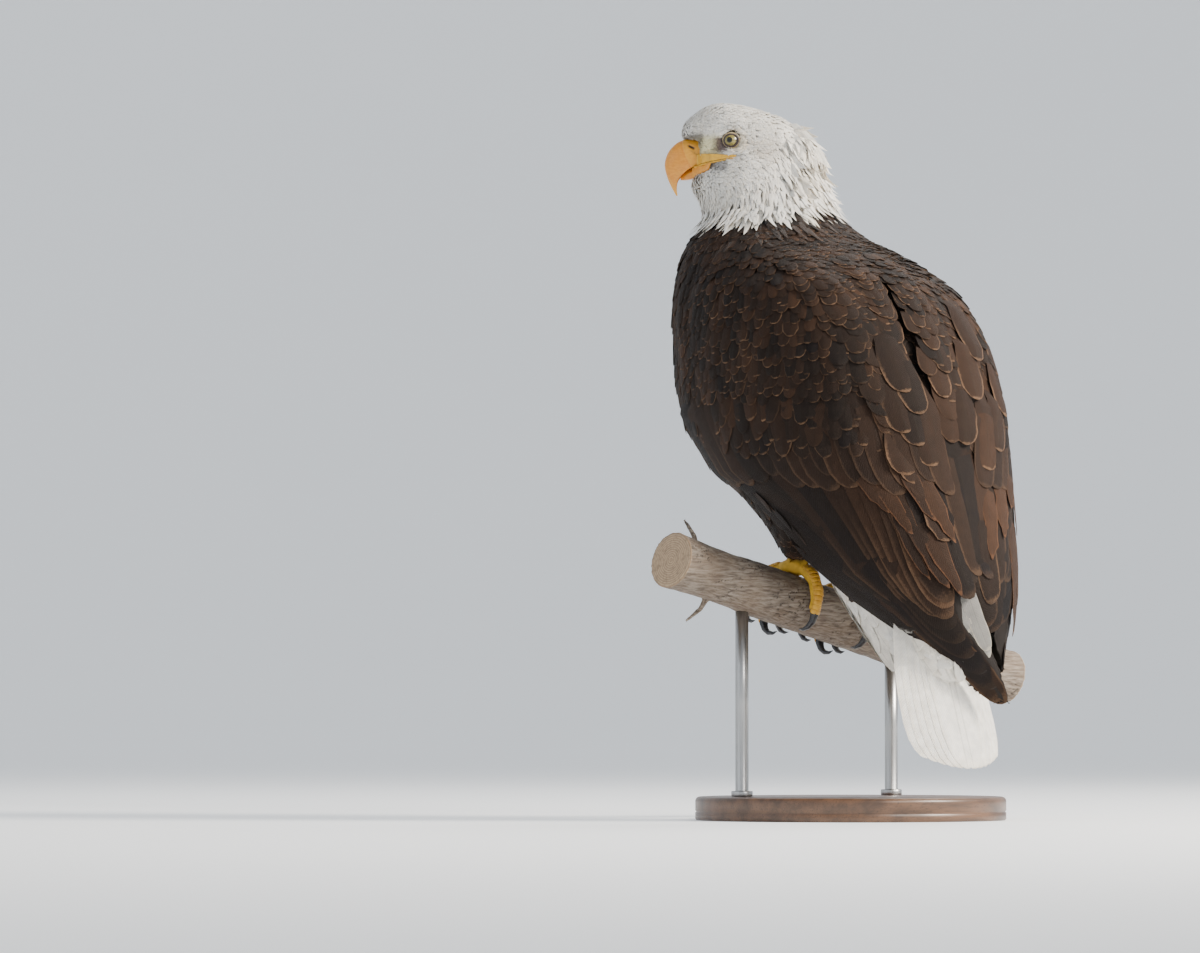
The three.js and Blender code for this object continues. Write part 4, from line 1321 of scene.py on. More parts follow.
def lay_worn(coat, side):
    """The last tertial and the worn feathers over it."""
    colours = dark_tint(1, 0.0, 0.25)
    lay_flight(coat, side, [LAST_TERTIAL[side]], (-0.2, 2.0), colours, form=BROAD_LONG, **HANGING)
    rows = WORN[side]
    n = len(rows)
    # The rufous is the feathers' own colour; the extra 0.12 of warmth on the right side is painted light,
    # and the left's lower warmth stands for their shade.
    tint, edge = dark_tint(n, RANDOM.uniform(0.04, 0.22, n) + (0.12 if side == "right" else 0.0), 0.42)
    edge[:, :3] = RUFOUS * 1.1
    levels = (-0.2 + 0.2 * np.arange(n), 2.6 + 0.4 * np.arange(n))
    lay_flight(coat, side, rows, levels, (tint, edge), form=WORN_LONG, fray=0.12, **HANGING)


def lay_wings():
    for side in SIGN:
        coat = Coat("feathers_flight_" + side, FLIGHT_VANE)
        for lay_some in (lay_primaries, lay_secondaries, lay_tertials, lay_greater_coverts, lay_worn):
            lay_some(coat, side)
        coat.finish(VANE)


# ---------------------------------------------------------------- the tail

TAIL_HALF = 66.0
TAIL_DROOP = 15.0  # how far the fan bends down at its edges


def lay_tail():
    """Twelve tail feathers in a half-closed fan, the middle pair on top."""
    coat = Coat("feathers_tail", FLIGHT_VANE)
    v = np.asarray(LONG[0])
    form = (v, np.asarray(LONG[1]) * (0.45 + 0.55 * ramp(v, 0.2, 0.65)))
    axis = unit(TAIL_TIP - TAIL_ROOT)
    side = np.array([1.0, 0, 0])
    dorsal = -np.cross(axis, side)
    order = np.arange(12) - 5.5
    order = order[np.argsort(-np.abs(order))]
    rank = np.abs(order)[:, None]
    x = order[:, None] * (3.4 + 5.6 * v[None, :] ** 0.9)
    reach = np.linalg.norm(TAIL_TIP - TAIL_ROOT) * (v[None, :] * (1.0 - 0.05 * (rank / 5.5) ** 2))
    level = 2.0 - 0.25 * rank - 1.0 * (1 - v[None, :]) - TAIL_DROOP * (x / TAIL_HALF) ** 2
    centre = TAIL_ROOT + axis * reach[..., None] + side * x[..., None] + dorsal * level[..., None]
    along = unit(np.gradient(centre, axis=1))
    normal = square_to(dorsal + side * (2 * TAIL_DROOP * x / TAIL_HALF**2)[..., None], along)
    tint = WHITE * (1 + 0.02 * RANDOM.normal(size=(12, 1)))
    edge = np.hstack([np.broadcast_to(CREAM * 0.9, (12, 3)), np.full((12, 1), 0.25)])
    bend = np.full((6, len(v)), TAIL_HALF**2 / (2 * TAIL_DROOP))
    # The outer feather of each pair shows only its narrow outer vane.
    for pick, inner, outer in ((order < 0, 0.8, 1.2), (order > 0, 1.2, 0.8)):
        coat.add(centre[pick], along[pick], normal[pick], np.full(6, 46.0), form, tint[pick], edge[pick],
                 bake_place(centre[pick, 1]), camber=0.03, thick=0.6, fray=0.015, bend=bend,
                 inner=inner, outer=outer, tilt=0.045 if inner < outer else -0.045)
    coat.finish(WHITE_VANE, ["tail"])


VANE = feather_material("feather_brown", 0.9, 0.02)
WHITE_VANE = feather_material("feather_white", 0.9, 0.12, soft=0.22)

build_skin()
lay_head()
lay_neck()
lay_body()
lay_tail_coverts()
lay_scapulars()
lay_coverts()
lay_wings()
lay_tail()

# ---------------------------------------------------------------- the bill

# Profiles of the bill's halves from base to tip, as (forward, up), with the half widths between them.
UPPER_TOP = [
    (25, 3.0), (34, 3.0), (44, 2.6), (52, 0.4), (60, -3.6),
    (68, -12.5), (72, -25), (70, -37.5), (65, -50), (59.4, -60),
]
UPPER_UNDER = [
    (24, -24.5), (30, -26), (38, -28.5), (45, -32), (50.5, -36),
    (55, -40.5), (57.6, -44.5), (58.6, -49), (58.8, -54), (58, -59.6),
]
UPPER_HALF = [15.4, 15.2, 14.6, 13.6, 12.2, 10.3, 8, 5.8, 3.4, 0.7]
LOWER_TOP = [(10, -23), (20, -24.2), (30, -26.4), (40, -29.2), (48, -33.0), (54.5, -39.0)]
LOWER_UNDER = [(10, -35), (20, -36.6), (30, -38.8), (40, -41.2), (48, -42.8), (54.8, -43.0)]
LOWER_HALF = [12.6, 12.4, 11.4, 9.2, 6.2, 2.2]
NOSTRIL = (42.8, -8.6)  # forward, up
NOSTRIL_SLOPE = math.radians(27)


def bill_material():
    """Layered horn, orange with a paler ridge, and the softer, yellower cere."""
    m = Look("bill_horn")
    marks = m.parts("marks")
    layers = m.ease(m.noise(240.0, 5.0, stretch=(1, 1, 2.4)), 0.25, 0.75)
    horn = m.mix(layers, (0.62, 0.22, 0.016), (0.74, 0.31, 0.028))
    horn = m.mix(m.ease(marks["Z"], 0.72, 1.0), horn, (0.74, 0.37, 0.045))
    cere = m.mix(layers, (0.66, 0.28, 0.018), (0.75, 0.35, 0.028))
    stain = m.ease(m.noise(130.0, 6.0, 0.7), 0.60, 0.80)
    colour = m.mix(m.math("MULTIPLY", stain, 0.22), m.mix(marks["X"], horn, cere), (0.30, 0.12, 0.03))
    m.bump(m.noise(700.0, 4.0, stretch=(1, 1, 0.5)), 0.00012, 0.5)
    m.set({
        # marks Y is painted shade: it darkens the nostril's opening and the groove by it.
        "Base Color": m.mix(marks["Y"], colour, (0.018, 0.008, 0.006)),
        "Roughness": m.mix(marks["X"], grey(0.30), grey(0.46)),
        "Subsurface Weight": 0.12,
        "Subsurface Radius": (0.0022, 0.0012, 0.0006),
    })
    return m.material


BILL = bill_material()


def bill_rings(top, under, half, stations, sides, hollow):
    """Rings of a bill from its profile above and below and its half width."""
    t = np.linspace(0, 1, stations)
    high, low, wide = spline(top, t), spline(under, t), spline(half, t)[:, 0]
    c, s = circle(sides)
    fullness = np.where(s < 0, 0.55, 0.85)
    sideways = np.sign(c) * np.abs(c) ** fullness * (1 - 0.20 * np.maximum(s, 0) ** 1.5)
    belly = -np.minimum(1.3 * np.abs(s) ** 0.9, 1) * (1 - hollow * hump(c, 0, 0.4))
    rise = np.where(s < 0, belly, np.abs(s) ** 0.95)
    middle, reach = (high + low) / 2, (high - low) / 2
    forward = middle[:, :1] + reach[:, :1] * rise
    up = middle[:, 1:] + reach[:, 1:] * rise
    return forward, wide[:, None] * sideways, up


def add_horn(node, rings, *marks):
    """Half of the bill: its marks are softness, painted shade and the share of the bill's length."""
    verts, polys = tube(rings)
    marks = np.stack(np.broadcast_arrays(*marks), -1).reshape(-1, 3)
    mesh = write_mesh(node + "_horn", verts, polys)
    add_attribute(mesh, "marks", np.vstack([marks, marks[:1], marks[-1:]]))
    piece(node + "_horn", mesh, BILL, [node])


def build_upper_bill():
    """The hooked upper half, its soft cere swollen and its nostril a slanting slit."""
    f, l, u = bill_rings(UPPER_TOP, UPPER_UNDER, UPPER_HALF, 170, 88, 0.28)
    before_cere = 52.6 - 0.0115 * u**2 - f
    cere = ramp(before_cere, -0.6, 0.8) * (u > -33)
    seam = hump(before_cere, -0.8, 0.9) * (u > -31)
    df, du = f - NOSTRIL[0], u - NOSTRIL[1]
    slit_long = df * math.cos(NOSTRIL_SLOPE) + du * math.sin(NOSTRIL_SLOPE)
    slit_wide = -df * math.sin(NOSTRIL_SLOPE) + du * math.cos(NOSTRIL_SLOPE)
    hole = np.exp(-((slit_long / 3.9) ** 4) - (slit_wide / 1.25) ** 2)
    rim = np.exp(-((slit_long / 5.4) ** 4) - (slit_wide / 2.9) ** 2) - hole
    groove = hump(df, -4.0, 5.0) * hump(du, 0.55 * (df + 4) - 6.2, 0.9)
    wear = 0.16 * pieces_of_noise(on_head(f, l, u).reshape(-1, 3), 11, 21).reshape(f.shape)
    outward = 0.55 * cere - 0.35 * seam + 0.5 * rim - 2.2 * hole - 0.4 * groove + wear * (1 - cere)
    scale = 1 + outward / np.maximum(np.abs(l), 4.0) * np.minimum(np.abs(l) / 4.0, 1)
    rings = on_head(f, l * scale, u + 0.3 * cere * np.sign(u + 13))
    share = np.linspace(0, 1, len(f))[:, None]
    # The second mark is painted shade, dark in the nostril's opening and along its groove.
    add_horn("bill_upper", rings, cere, np.clip(hole * 1.4 + 0.5 * groove, 0, 1), share)


def build_lower_bill():
    f, l, u = bill_rings(LOWER_TOP, LOWER_UNDER, LOWER_HALF, 90, 64, 0.0)
    add_horn("bill_lower", on_head(f, l, u), ramp(f, 36, 26), 0.0, np.linspace(0.1, 0.35, len(f))[:, None])


build_upper_bill()
build_lower_bill()

# ---------------------------------------------------------------- eyes and lids

IRIS_RADIUS, PUPIL_RADIUS = 7.0, 3.0
LID_REACH = 7.4  # half the length of the opening between the lids


def eye_material():
    """A pale iris round a black pupil, under a wet clear coat."""
    m = Look("eye")
    out = m.parts("gaze")["X"]
    iris = m.mix(m.ease(out, PUPIL_RADIUS, IRIS_RADIUS), (0.19, 0.155, 0.040), (0.30, 0.26, 0.085))
    iris = m.mix(m.ease(m.noise(900.0, 3.0), 0.35, 0.7), iris, (0.15, 0.12, 0.035))
    iris = m.mix(m.ease(out, IRIS_RADIUS - 1.0, IRIS_RADIUS - 0.2), iris, (0.030, 0.022, 0.014))
    m.set({
        "Base Color": m.mix(m.ease(out, PUPIL_RADIUS - 0.12, PUPIL_RADIUS + 0.16), grey(0.003), iris),
        "Roughness": 0.40,
        "Specular IOR Level": 0.1,
        "Coat Weight": 1.0,
        "Coat IOR": 1.45,
        "Coat Roughness": 0.02,
    })
    return m.material


def eyeball(side):
    """An eyeball with its rings round the line of sight and a slight bulge of the cornea."""
    slant = math.radians(9)
    axis = unit(HEAD_LEFT * SIGN[side] * math.cos(slant) + HEAD_FORWARD * math.sin(slant))
    up = square_to(UP, axis)
    across = np.cross(axis, up)
    polar = np.radians(np.linspace(1, 179, 72))
    out = EYE_RADIUS * np.sin(polar)
    ahead = EYE_RADIUS * np.cos(polar) + 0.9 * np.exp(-((out / 5.5) ** 4)) * (polar < math.pi / 2)
    c, s = (part[:, None] for part in circle(72))
    middle = on_head(EYE_AHEAD, SIGN[side] * EYE_OUT, EYE_UP)
    rings = middle + axis * ahead[:, None, None] + (across * c + up * s)[None] * out[:, None, None]
    front = np.where(polar < math.pi / 2, out, EYE_RADIUS)
    gaze = np.concatenate([np.repeat(front, 72), [0.0, EYE_RADIUS]])
    mesh = write_mesh("eyeball_" + side, *tube(rings))
    add_attribute(mesh, "gaze", np.stack([gaze, 0 * gaze, 0 * gaze], 1))
    return mesh


def ring_tube(points, radii, outwards, sides=12):
    """A closed loop of tube."""
    along = unit(np.roll(points, -1, 0) - np.roll(points, 1, 0))
    across = np.cross(along, outwards)
    c, s = (part[:, None] for part in circle(sides))
    arms = unit(across)[:, None] * c + outwards[:, None] * s
    rings = points[:, None] + np.reshape(radii, (-1, 1, 1)) * arms
    n = len(points)
    i, j = np.meshgrid(np.arange(n), np.arange(sides), indexing="ij")
    k, m = (j + 1) % sides, (i + 1) % n
    quads = np.stack([i * sides + j, m * sides + j, m * sides + k, i * sides + k], -1)
    return rings.reshape(-1, 3), [quads.reshape(-1, 4)]


def lids(sign):
    """The dark rim of an eye and the paler fold round it."""
    c, s = circle(64)
    height = np.where(s > 0, 6.1, 6.8)
    out = np.hypot(LID_REACH * c, height * s)
    ball = EYE_OUT + np.sqrt(np.maximum(EYE_RADIUS**2 - out**2, 0))
    points = on_head(EYE_AHEAD + LID_REACH * c, sign * (ball + 0.1), EYE_UP + height * s)
    outwards = np.broadcast_to(HEAD_LEFT * sign, points.shape)
    rim = ring_tube(points, np.full(64, 1.15), outwards)
    around_rim = on_head(EYE_AHEAD + 8.7 * c, sign * (ball - 0.9), EYE_UP + (height + 1.2) * s)
    fold = ring_tube(around_rim, 0.7 + 0.7 * np.maximum(-c, 0) + 0.6 * np.maximum(s, 0), outwards)
    return rim, fold


def bare_material(name, colour, darker, rough, bumps=700.0):
    m = Look(name)
    spots = m.ease(m.noise(bumps * 0.4, 5.0), 0.3, 0.7)
    m.bump(m.noise(bumps, 4.0), 0.0002, 0.7)
    m.set({"Base Color": m.mix(spots, colour, darker), "Roughness": rough})
    return m.material


def add_bare(name, parts, slot, *look):
    """A piece of naked skin or horn from closed parts."""
    piece(name, write_mesh(name, *joined(parts)), bare_material(*look))


EYE = eye_material()
for side in SIGN:
    piece("eyeball_" + side, eyeball(side), EYE, ["eye_" + side])
rims, folds = zip(lids(1), lids(-1))
add_bare("eyelids", rims, "foot_skin", "lid_skin", (0.040, 0.022, 0.022), (0.018, 0.010, 0.011), 0.45)
add_bare("lid_folds", folds, "foot_skin", "fold_skin", (0.46, 0.37, 0.19), (0.26, 0.19, 0.11), 0.55)

# ---------------------------------------------------------------- the corners of the mouth

def swept(points, radii, sides=12):
    """A closed tube along points, its radius changing."""
    along = unit(np.gradient(points, axis=0))
    side = unit(np.cross(along, UP))
    rise = np.cross(side, along)
    c, s = (part[:, None] for part in circle(sides))
    return tube(points[:, None] + radii[:, None, None] * (side[:, None] * c + rise[:, None] * s))


def slab(top, low):
    """A closed sheet between two grids of points, upper and under."""
    n, m = top.shape[:2]
    verts = np.vstack([top.reshape(-1, 3), low.reshape(-1, 3)])
    number = np.arange(n * m).reshape(n, m)
    a = number[:-1, :-1].ravel()
    quads = np.stack([a, a + m, a + m + 1, a + 1], 1)
    under = np.stack([a, a + 1, a + m + 1, a + m], 1) + n * m
    border = np.concatenate([number[0], number[1:, -1], number[-1, -2::-1], number[-2:0:-1, 0]])
    after = np.roll(border, -1)
    walls = np.stack([border, after, after + n * m, border + n * m], 1)
    faces = np.vstack([quads, under, walls])
    a, b, c, d = (verts[faces[:, k]] - verts.mean(0) for k in range(4))
    inside_out = (a * (np.cross(b, c) + np.cross(c, d))).sum() < 0
    return verts, [faces[:, ::-1] if inside_out else faces]


def face_reach(sign, forward, up):
    """How far out the coat's outline lies at places on the side of the head."""
    face = envelope.find(on_head(forward, sign * 40.0, up).reshape(-1, 3))[0]
    return np.abs(head_place(face)[1]).reshape(forward.shape)


def plump(s, fullness):
    """A swelling over the breadth of a strip, from 0 to 1, that stays just open at its borders."""
    return np.sin(math.pi * np.clip(s * 0.94 + 0.03, 0, 1)) ** fullness


def gape(sign):
    """The yellow skin from the cere back to a bead below the eye, and the thin lip under it."""
    t = np.linspace(0, 1, 64)[:, None]
    s = np.linspace(0, 1, 12)[None, :]
    forward = 37 - 43 * t + 0 * s
    up = wedge_top(forward) + (mouth_height(forward) + 0.2 - wedge_top(forward)) * s
    furthest = 15.6 + 14 * ramp(forward, 36, 30) + 16 * ramp(forward, 28, 14)
    reach = np.minimum(face_reach(sign, forward, up), furthest)
    for _ in range(3):
        padded = np.pad(reach, ((1, 1), (0, 0)), mode="edge")
        reach = (padded[:-2] + reach + padded[2:]) / 3
    bead = 1.1 * hump(forward, -4.2, 1.8)
    top = on_head(forward, sign * (reach + 0.1 + (0.9 + bead) * plump(s, 0.6)), up)
    low = on_head(forward, sign * (reach - 3.2), up)
    share = np.linspace(0, 1, 60)
    line = 40 - 43 * share
    edge_reach = np.interp(-line, -forward[:, -1], reach[:, -1])
    lip = swept(on_head(line, sign * (edge_reach + 0.1), mouth_height(line) - 1.2), 1.1 - 0.45 * share)
    return joined([slab(top, low), lip])


def jaw(sign):
    """The horn along the side of the jaw, from the lower bill back to the feathers."""
    t = np.linspace(0, 1, 40)[:, None]
    s = np.linspace(0, 1, 14)[None, :]
    forward = 42 - (21 - 2.5 * s) * t
    up = mouth_height(forward) - 1.6 + (jaw_under(forward) - mouth_height(forward) + 1.6) * s
    furthest = 9.5 + 16 * ramp(forward, 45, 28) * (1 - 0.25 * s**2) + 12 * ramp(forward, 32, 22)
    reach = np.minimum(face_reach(sign, forward, up), furthest)
    for _ in range(4):
        padded = np.pad(reach, 1, mode="edge")
        beside = padded[:-2, 1:-1] + padded[2:, 1:-1] + padded[1:-1, :-2] + padded[1:-1, 2:]
        reach = (beside + reach) / 5
    roll = plump(s, 0.5) * ramp(t, 1.02, 0.94)
    top = on_head(forward, sign * (reach - 0.4 + 1.1 * roll), up)
    return slab(top, on_head(forward, sign * (reach - 4.0), up))


add_bare("jaw_horn", [jaw(1), jaw(-1)], "bill", "jaw_horn", (0.72, 0.31, 0.026), (0.62, 0.23, 0.018), 0.38)
add_bare("gape", [gape(1), gape(-1)], "bill", "gape_skin", (0.70, 0.40, 0.030), (0.58, 0.29, 0.022), 0.42)

# ---------------------------------------------------------------- feet and claws

PERCH_RADIUS, PERCH_SLOPE = 29.0, 0.24
PERCH_Y, PERCH_Z = -50.0, 222.0  # the middle line of the branch at x = 0
PERCH_MIDDLE, PERCH_HALF = -37.5, 252.0  # along x
PERCH_UP = unit(np.array([-PERCH_SLOPE, 0.0, 1.0]))
AHEAD = np.array([0.0, -1.0, 0.0])
TOE_RADIUS, TOE_GAP = 8.5, 0.35
FOOT_X = 42.0
# Each toe's spread along the branch, and the angles round it, forward from its top, of its root and tip.
TOES = {"inner": (-25, 24, 104), "middle": (0, 24, 120), "outer": (25, 24, 108), "hind": (-3, -30, -104)}


def round_perch(x, angle, distance):
    """A point round the branch: angle in degrees forward from its top."""
    x, angle = np.broadcast_arrays(np.asarray(x, float), np.asarray(angle, float))
    a = np.radians(angle)
    axis = np.stack([x, np.full_like(x, PERCH_Y), PERCH_Z + PERCH_SLOPE * x], -1)
    return axis + distance * (PERCH_UP * np.cos(a)[..., None] + AHEAD * np.sin(a)[..., None])


def scute(centre, along, normal, radius, length, half_angle, thick=0.55):
    """One overlapping plate bent round a toe: a closed lens."""
    theta = np.radians(np.linspace(-half_angle, half_angle, 11))
    share = np.linspace(0, 1, 6)
    arch = np.sin(math.pi * np.clip(share * 0.92 + 0.05, 0, 1)) ** 0.6
    taper = np.cos(theta / np.radians(half_angle) * math.pi / 2) ** 0.35
    reach = share[:, None] * length * (0.70 + 0.30 * taper[None])
    level = radius + 0.10 + thick * arch[:, None] * taper[None]
    round_toe = normal * np.cos(theta)[:, None] + np.cross(along, normal) * np.sin(theta)[:, None]
    line = centre + along * reach[..., None]
    return slab(line + round_toe[None] * level[..., None], line + round_toe[None] * (radius - 0.6))


def toe_plates(side, spread_x, root, tip):
    """The plates down the back of one toe, bent round the branch."""
    share = np.linspace(0, 1, 60)
    x = side * FOOT_X + side * spread_x * share**0.8
    line = round_perch(x, root * 0.2 + (tip - root * 0.2) * share, PERCH_RADIUS + TOE_RADIUS + TOE_GAP)
    out = unit(line - round_perch(x, 0.0, 0.0))
    along = unit(np.gradient(line, axis=0))
    walked = np.concatenate([[0], np.cumsum(np.linalg.norm(np.diff(line, axis=0), axis=1))])

    def value(row, at):
        return np.array([np.interp(at, walked, k) for k in row.T])

    for at in np.arange(13.0, walked[-1] - 1.0, 4.6):
        way = unit(value(along, at))
        normal = square_to(unit(value(out, at)), way)
        s = at / walked[-1]
        radius = TOE_RADIUS * (0.97 - 0.22 * s) * (1 + 0.06 * math.cos(6 * math.pi * s))
        yield scute(value(line, at), way, normal, radius - 0.3, 5.6, 78)


def shank_plates(side):
    """The plates down the front of a shank."""
    top = round_perch(side * FOOT_X, 0.0, PERCH_RADIUS)
    ankle, sole = top + np.array([side * 5, 26, 52]), top + np.array([0.0, -1, 8])
    way = unit(sole - ankle)
    for at in np.arange(14.0, 44.0, 5.0):
        yield scute(ankle + way * at, way, square_to(AHEAD, way), 8.4, 6.0, 70)


def foot_plates():
    for side in (1, -1):
        for toe in TOES.values():
            yield from toe_plates(side, *toe)
        yield from shank_plates(side)


def claw_material():
    m = Look("claw_horn")
    streak = m.ease(m.noise(320.0, 5.0), 0.35, 0.75)
    m.bump(m.noise(900.0, 3.0), 0.0001, 0.5)
    m.set({"Base Color": m.mix(streak, (0.010, 0.011, 0.015), (0.040, 0.038, 0.040)), "Roughness": 0.28})
    return m.material


def build_claws():
    claws = [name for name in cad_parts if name.startswith("claw")]
    parts = [fused([name], 0.75, 6) for name in claws]
    mesh = write_mesh("claws", *joined((verts, [quads]) for verts, quads in parts))
    piece("claws", mesh, claw_material(), claws)


SCALE_LOOK = ("foot_scales", (0.66, 0.36, 0.03), (0.48, 0.23, 0.02), 0.45, 500.0)
add_bare("foot_scutes", foot_plates(), "foot_skin", *SCALE_LOOK)
build_claws()

# ---------------------------------------------------------------- the perch and its stand

def bark_material():
    """Weathered bare wood: silver-brown, with dark cracks along the grain."""
    m = Look("branch_wood")
    marks = m.parts("marks")
    grain = m.noise(420.0, 6.0, 0.65, stretch=(0.10, 1, 1))
    broad = m.noise(38.0, 5.0, 0.6, stretch=(0.5, 1, 1))
    wood = m.mix(m.ease(grain, 0.34, 0.66), (0.085, 0.062, 0.046), (0.27, 0.225, 0.18))
    wood = m.mix(m.ease(broad, 0.35, 0.7), wood, m.mix(0.5, wood, (0.16, 0.105, 0.065)))
    wood = m.mix(marks["X"], wood, (0.020, 0.014, 0.011))
    rings = m.math("SINE", m.math("MULTIPLY", marks["Z"], 2.6))
    cut = m.mix(m.ease(rings, -0.6, 0.9), (0.30, 0.20, 0.12), (0.42, 0.31, 0.20))
    cut = m.mix(m.ease(m.noise(260.0, 4.0), 0.4, 0.8), cut, (0.20, 0.14, 0.09))
    m.bump(m.math("ADD", grain, m.math("MULTIPLY", marks["X"], -0.6)), 0.0012, 0.8)
    m.set({"Base Color": m.mix(marks["Y"], wood, cut), "Roughness": 0.78})
    return m.material


def build_perch():
    """The CAD's branch made smooth and even, then dented along its grain and cracked."""
    verts, quads = fused(["perch"], 1.7, 3)
    tris = split_quads(quads)
    axis_x = (verts[:, 0] + PERCH_SLOPE * (verts[:, 2] - PERCH_Z)) / (1 + PERCH_SLOPE**2)
    centre = np.stack([axis_x, np.full_like(axis_x, PERCH_Y), PERCH_Z + PERCH_SLOPE * axis_x], 1)
    arm = verts - centre
    far = np.linalg.norm(arm, axis=1)
    swell = 1.6 * np.sin(axis_x / 31) * ramp(np.abs(axis_x), 80, 130) + 0.008 * np.maximum(0, -axis_x - 90)
    wanted = PERCH_RADIUS + swell
    on_rod = ramp(np.abs(far - wanted), 2.2, 1.0)
    verts = verts + arm / np.maximum(far, 1)[:, None] * ((wanted - far) * on_rod)[:, None]
    turn = np.arctan2(-arm[:, 1], arm @ PERCH_UP)
    lengthwise = np.stack([axis_x / 9.0, 6 * np.cos(turn), 6 * np.sin(turn)], 1)
    fibre = pieces_of_noise(lengthwise, 2.6, 31) + 0.5 * pieces_of_noise(lengthwise * [1, 2.3, 2.3], 1.9, 32)
    crack = ramp(np.abs(fibre), 0.10, 0.0) * ramp(pieces_of_noise(centre + arm, 46, 33), -0.2, 0.35)
    end = ramp(np.abs(axis_x - PERCH_MIDDLE), PERCH_HALF - 1.5, PERCH_HALF) * (far < wanted + 3)
    dent = 0.27 * (1 - fibre.clip(-1, 1)) + 1.3 * crack
    verts = verts - vertex_normals(verts, tris) * (dent * (1 - end) * ramp(far, 14, 22))[:, None]
    mesh = write_mesh("branch", verts, [quads])
    add_attribute(mesh, "marks", np.stack([crack * (1 - end), end, far], 1))
    piece("branch", mesh, bark_material(), ["perch"])


def stand_wood_material():
    m = Look("stand_wood")
    grain = m.noise(60.0, 6.0, 0.6, stretch=(0.08, 1, 1))
    fine = m.noise(700.0, 3.0, 0.6, stretch=(0.05, 1, 1))
    colour = m.mix(m.ease(grain, 0.3, 0.7), (0.050, 0.024, 0.012), (0.135, 0.066, 0.032))
    m.bump(fine, 0.0001, 0.5)
    m.set({
        "Base Color": m.mix(m.ease(fine, 0.5, 0.8), colour, (0.035, 0.016, 0.008)),
        "Roughness": 0.42,
        "Coat Weight": 0.25,
        "Coat Roughness": 0.25,
    })
    return m.material


def stand_steel_material():
    m = Look("stand_steel")
    brushed = m.noise(900.0, 2.0, 0.5, stretch=(1, 1, 0.04))
    m.bump(brushed, 0.00005, 0.4)
    steel = m.mix(brushed, (0.34, 0.335, 0.33), (0.52, 0.515, 0.51))
    m.set({"Base Color": steel, "Metallic": 1.0, "Roughness": 0.34})
    return m.material


def turned(name, profile, middle, sides, material, node):
    """A turned piece from its profile of (radius, height)."""
    a = np.arange(sides) / sides * math.tau
    rings = [[(middle[0] + r * math.cos(t), middle[1] + r * math.sin(t), z) for t in a] for r, z in profile]
    piece(name, write_mesh(name, *tube(np.array(rings))), material, [node])


def in_millimetres(box):
    """A box's low and high corners, and its middle seen from above."""
    low, high = ([v / MM for v in corner] for corner in box)
    return low, high, [(low[k] + high[k]) / 2 for k in (0, 1)]


def build_stand():
    low, high, middle = in_millimetres(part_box("stand_base"))
    radius, height = (high[0] - low[0]) / 2, high[2]
    profile = [(radius - 60, 0), (radius - 1.5, 0), (radius, 1.5), (radius, 8), (radius - 1.2, 9.2)]
    profile += [(radius, 10.4)]
    for a in np.linspace(0, math.pi / 2, 8):
        profile.append((radius - 5 + 5 * math.cos(a), height - 5 + 5 * math.sin(a)))
    profile += [(radius - 14, height), (radius - 15, height - 0.8), (radius - 16, height), (20, height)]
    turned("base_disc", profile, middle, 128, stand_wood_material(), "stand_base")
    steel = stand_steel_material()
    for number in (1, 2):
        low, high, middle = in_millimetres(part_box(f"stand_rod_{number}"))
        bottom, top = low[2], high[2]
        # A collar at the rod's foot, then the plain rod.
        profile = [(11, 0), (11.4, 0.8), (11.4, 5.2), (10.8, 6), (7.2, 6), (7, 6.4)]
        profile = [(r, bottom + z) for r, z in profile] + [(7, (bottom + top) / 2), (7, top)]
        turned(f"rod_{number}", profile, middle, 64, steel, f"stand_rod_{number}")


build_perch()
build_stand()

# ---------------------------------------------------------------- studio and camera

PHOTO_WIDTH, PHOTO_HEIGHT = 1200, 953
METRES_PER_PIXEL = 0.001065
AIM = np.array([0.0, 0.0, 0.42])  # metres
AIM_PIXEL = (850, 425)  # where AIM is in the photo
CAMERA_FAR = 7.0
CAMERA_AZIMUTH = math.radians(135)
CAMERA_RISE = math.radians(-2.5)
SENSOR_WIDTH = 36


def direction(azimuth, rise):
    """The way from the model towards an azimuth, 0 in front of it, and a height angle."""
    level = math.cos(rise)
    return np.array([math.sin(azimuth) * level, -math.cos(azimuth) * level, math.sin(rise)])


def aim(obj, place, at):
    """Puts a camera or lamp in its place, looking at a point."""
    obj.location = place
    obj.rotation_euler = Vector(at - place).to_track_quat("-Z", "Y").to_euler()
    bpy.context.scene.collection.objects.link(obj)


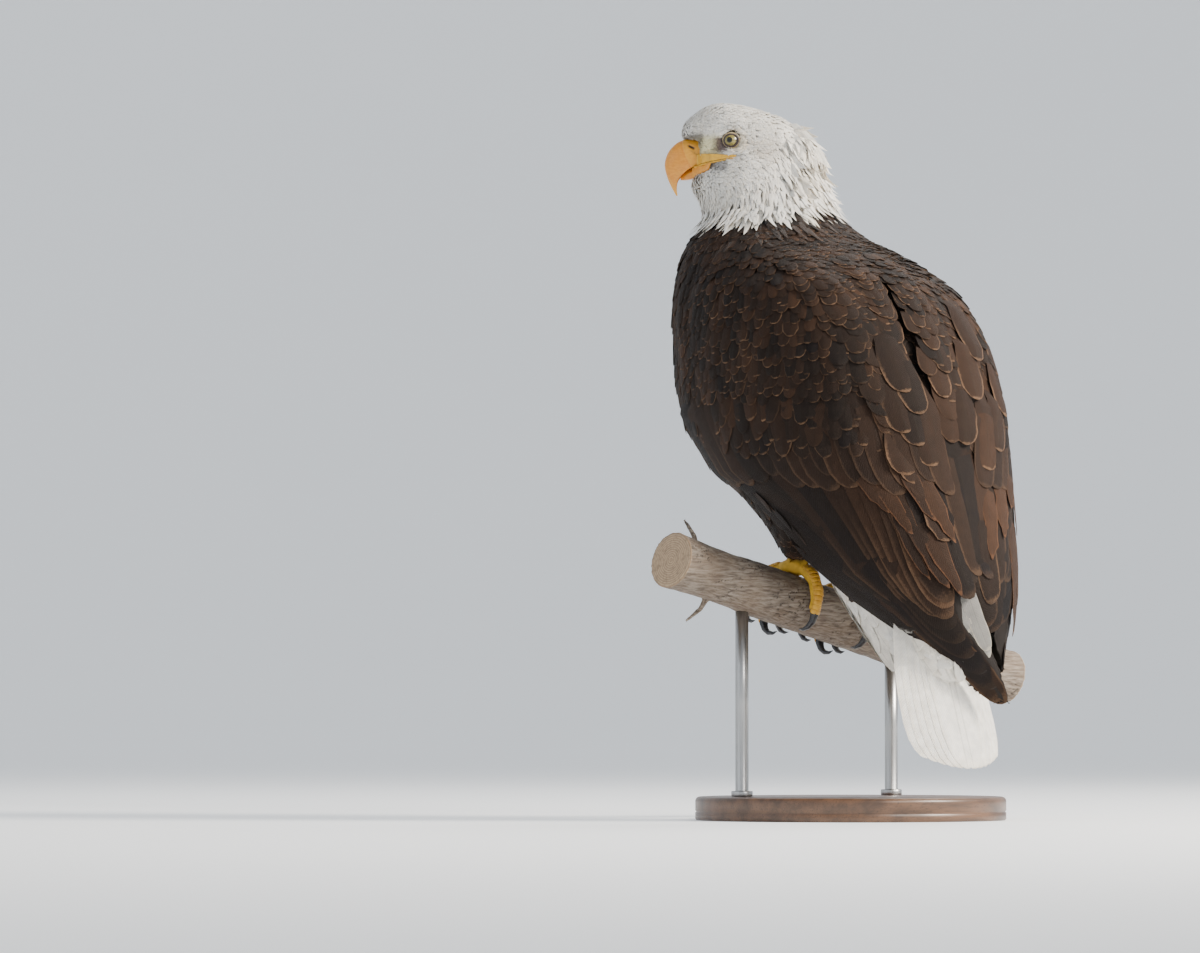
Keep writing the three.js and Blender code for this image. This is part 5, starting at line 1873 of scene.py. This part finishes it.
def add_camera():
    to_camera = direction(CAMERA_AZIMUTH, CAMERA_RISE)
    right = np.array([math.cos(CAMERA_AZIMUTH), math.sin(CAMERA_AZIMUTH), 0.0])
    skyward = np.cross(to_camera, right)
    off_x, off_y = AIM_PIXEL[0] - PHOTO_WIDTH / 2, AIM_PIXEL[1] - PHOTO_HEIGHT / 2
    centre = AIM - right * off_x * METRES_PER_PIXEL + skyward * off_y * METRES_PER_PIXEL
    place = AIM + to_camera * CAMERA_FAR
    data = bpy.data.cameras.new("camera")
    data.sensor_width = SENSOR_WIDTH
    data.clip_end = 200
    data.lens = SENSOR_WIDTH * np.linalg.norm(centre - place) / (PHOTO_WIDTH * METRES_PER_PIXEL)
    camera = bpy.data.objects.new("camera", data)
    aim(camera, place, centre)
    bpy.context.scene.camera = camera


# Soft lamps: azimuth from the camera's and height angle in degrees, distance, size, power and colour.
LAMPS = {
    "key": (74, 30, 3.4, 1.1, 300, (1.0, 0.93, 0.83)),
    "catch": (38, 26, 3.4, 0.5, 34, (1.0, 0.96, 0.90)),
    "fill": (-60, 20, 3.6, 2.4, 10, (0.86, 0.93, 1.0)),
    "rim": (165, 50, 3.4, 1.6, 60, (1.0, 0.97, 0.92)),
}


def add_lamp(name, azimuth, rise, far, size, power, colour):
    data = bpy.data.lights.new(name, "AREA")
    data.size = size
    data.energy = power
    data.color = colour
    way = direction(CAMERA_AZIMUTH + math.radians(azimuth), math.radians(rise))
    aim(bpy.data.objects.new(name, data), AIM + far * way, AIM)


def floor_material():
    m = Look("floor")
    m.set({
        "Base Color": m.mix(m.noise(1.5, 3.0), (0.78, 0.79, 0.80), grey(0.82)),
        "Roughness": 0.8,
        "Emission Color": (0.90, 0.95, 1.0),
        "Emission Strength": 0.32,
    })
    return m.material


def add_floor():
    """A pale floor that turns up into a far wall all round, so that no horizon shows from any side."""
    radius, turn, sides = 12.0, 6.0, 96
    profile = [(2.0, 0.0), (6.0, 0.0), (radius, 0.0)]
    for a in np.linspace(0.1, math.pi / 2, 16):
        profile.append((radius + turn * math.sin(a), turn - turn * math.cos(a)))
    profile.append((radius + turn, turn + 8.0))
    angle = np.arange(sides) * math.tau / sides
    rings = np.array([[(r * math.cos(a), r * math.sin(a), z) for a in angle] for r, z in profile]) / MM
    floor = add_object("floor", write_mesh("floor", *tube(rings, close_end=False)), [floor_material()])


def add_world():
    world = bpy.data.worlds.new("studio")
    world.use_nodes = True
    sky = world.node_tree.nodes["Background"].inputs
    sky["Color"].default_value = (0.86, 0.92, 1.0, 1)
    sky["Strength"].default_value = 0.52
    bpy.context.scene.world = world


add_camera()
add_floor()
add_world()
for name, lamp in LAMPS.items():
    add_lamp(name, *lamp)
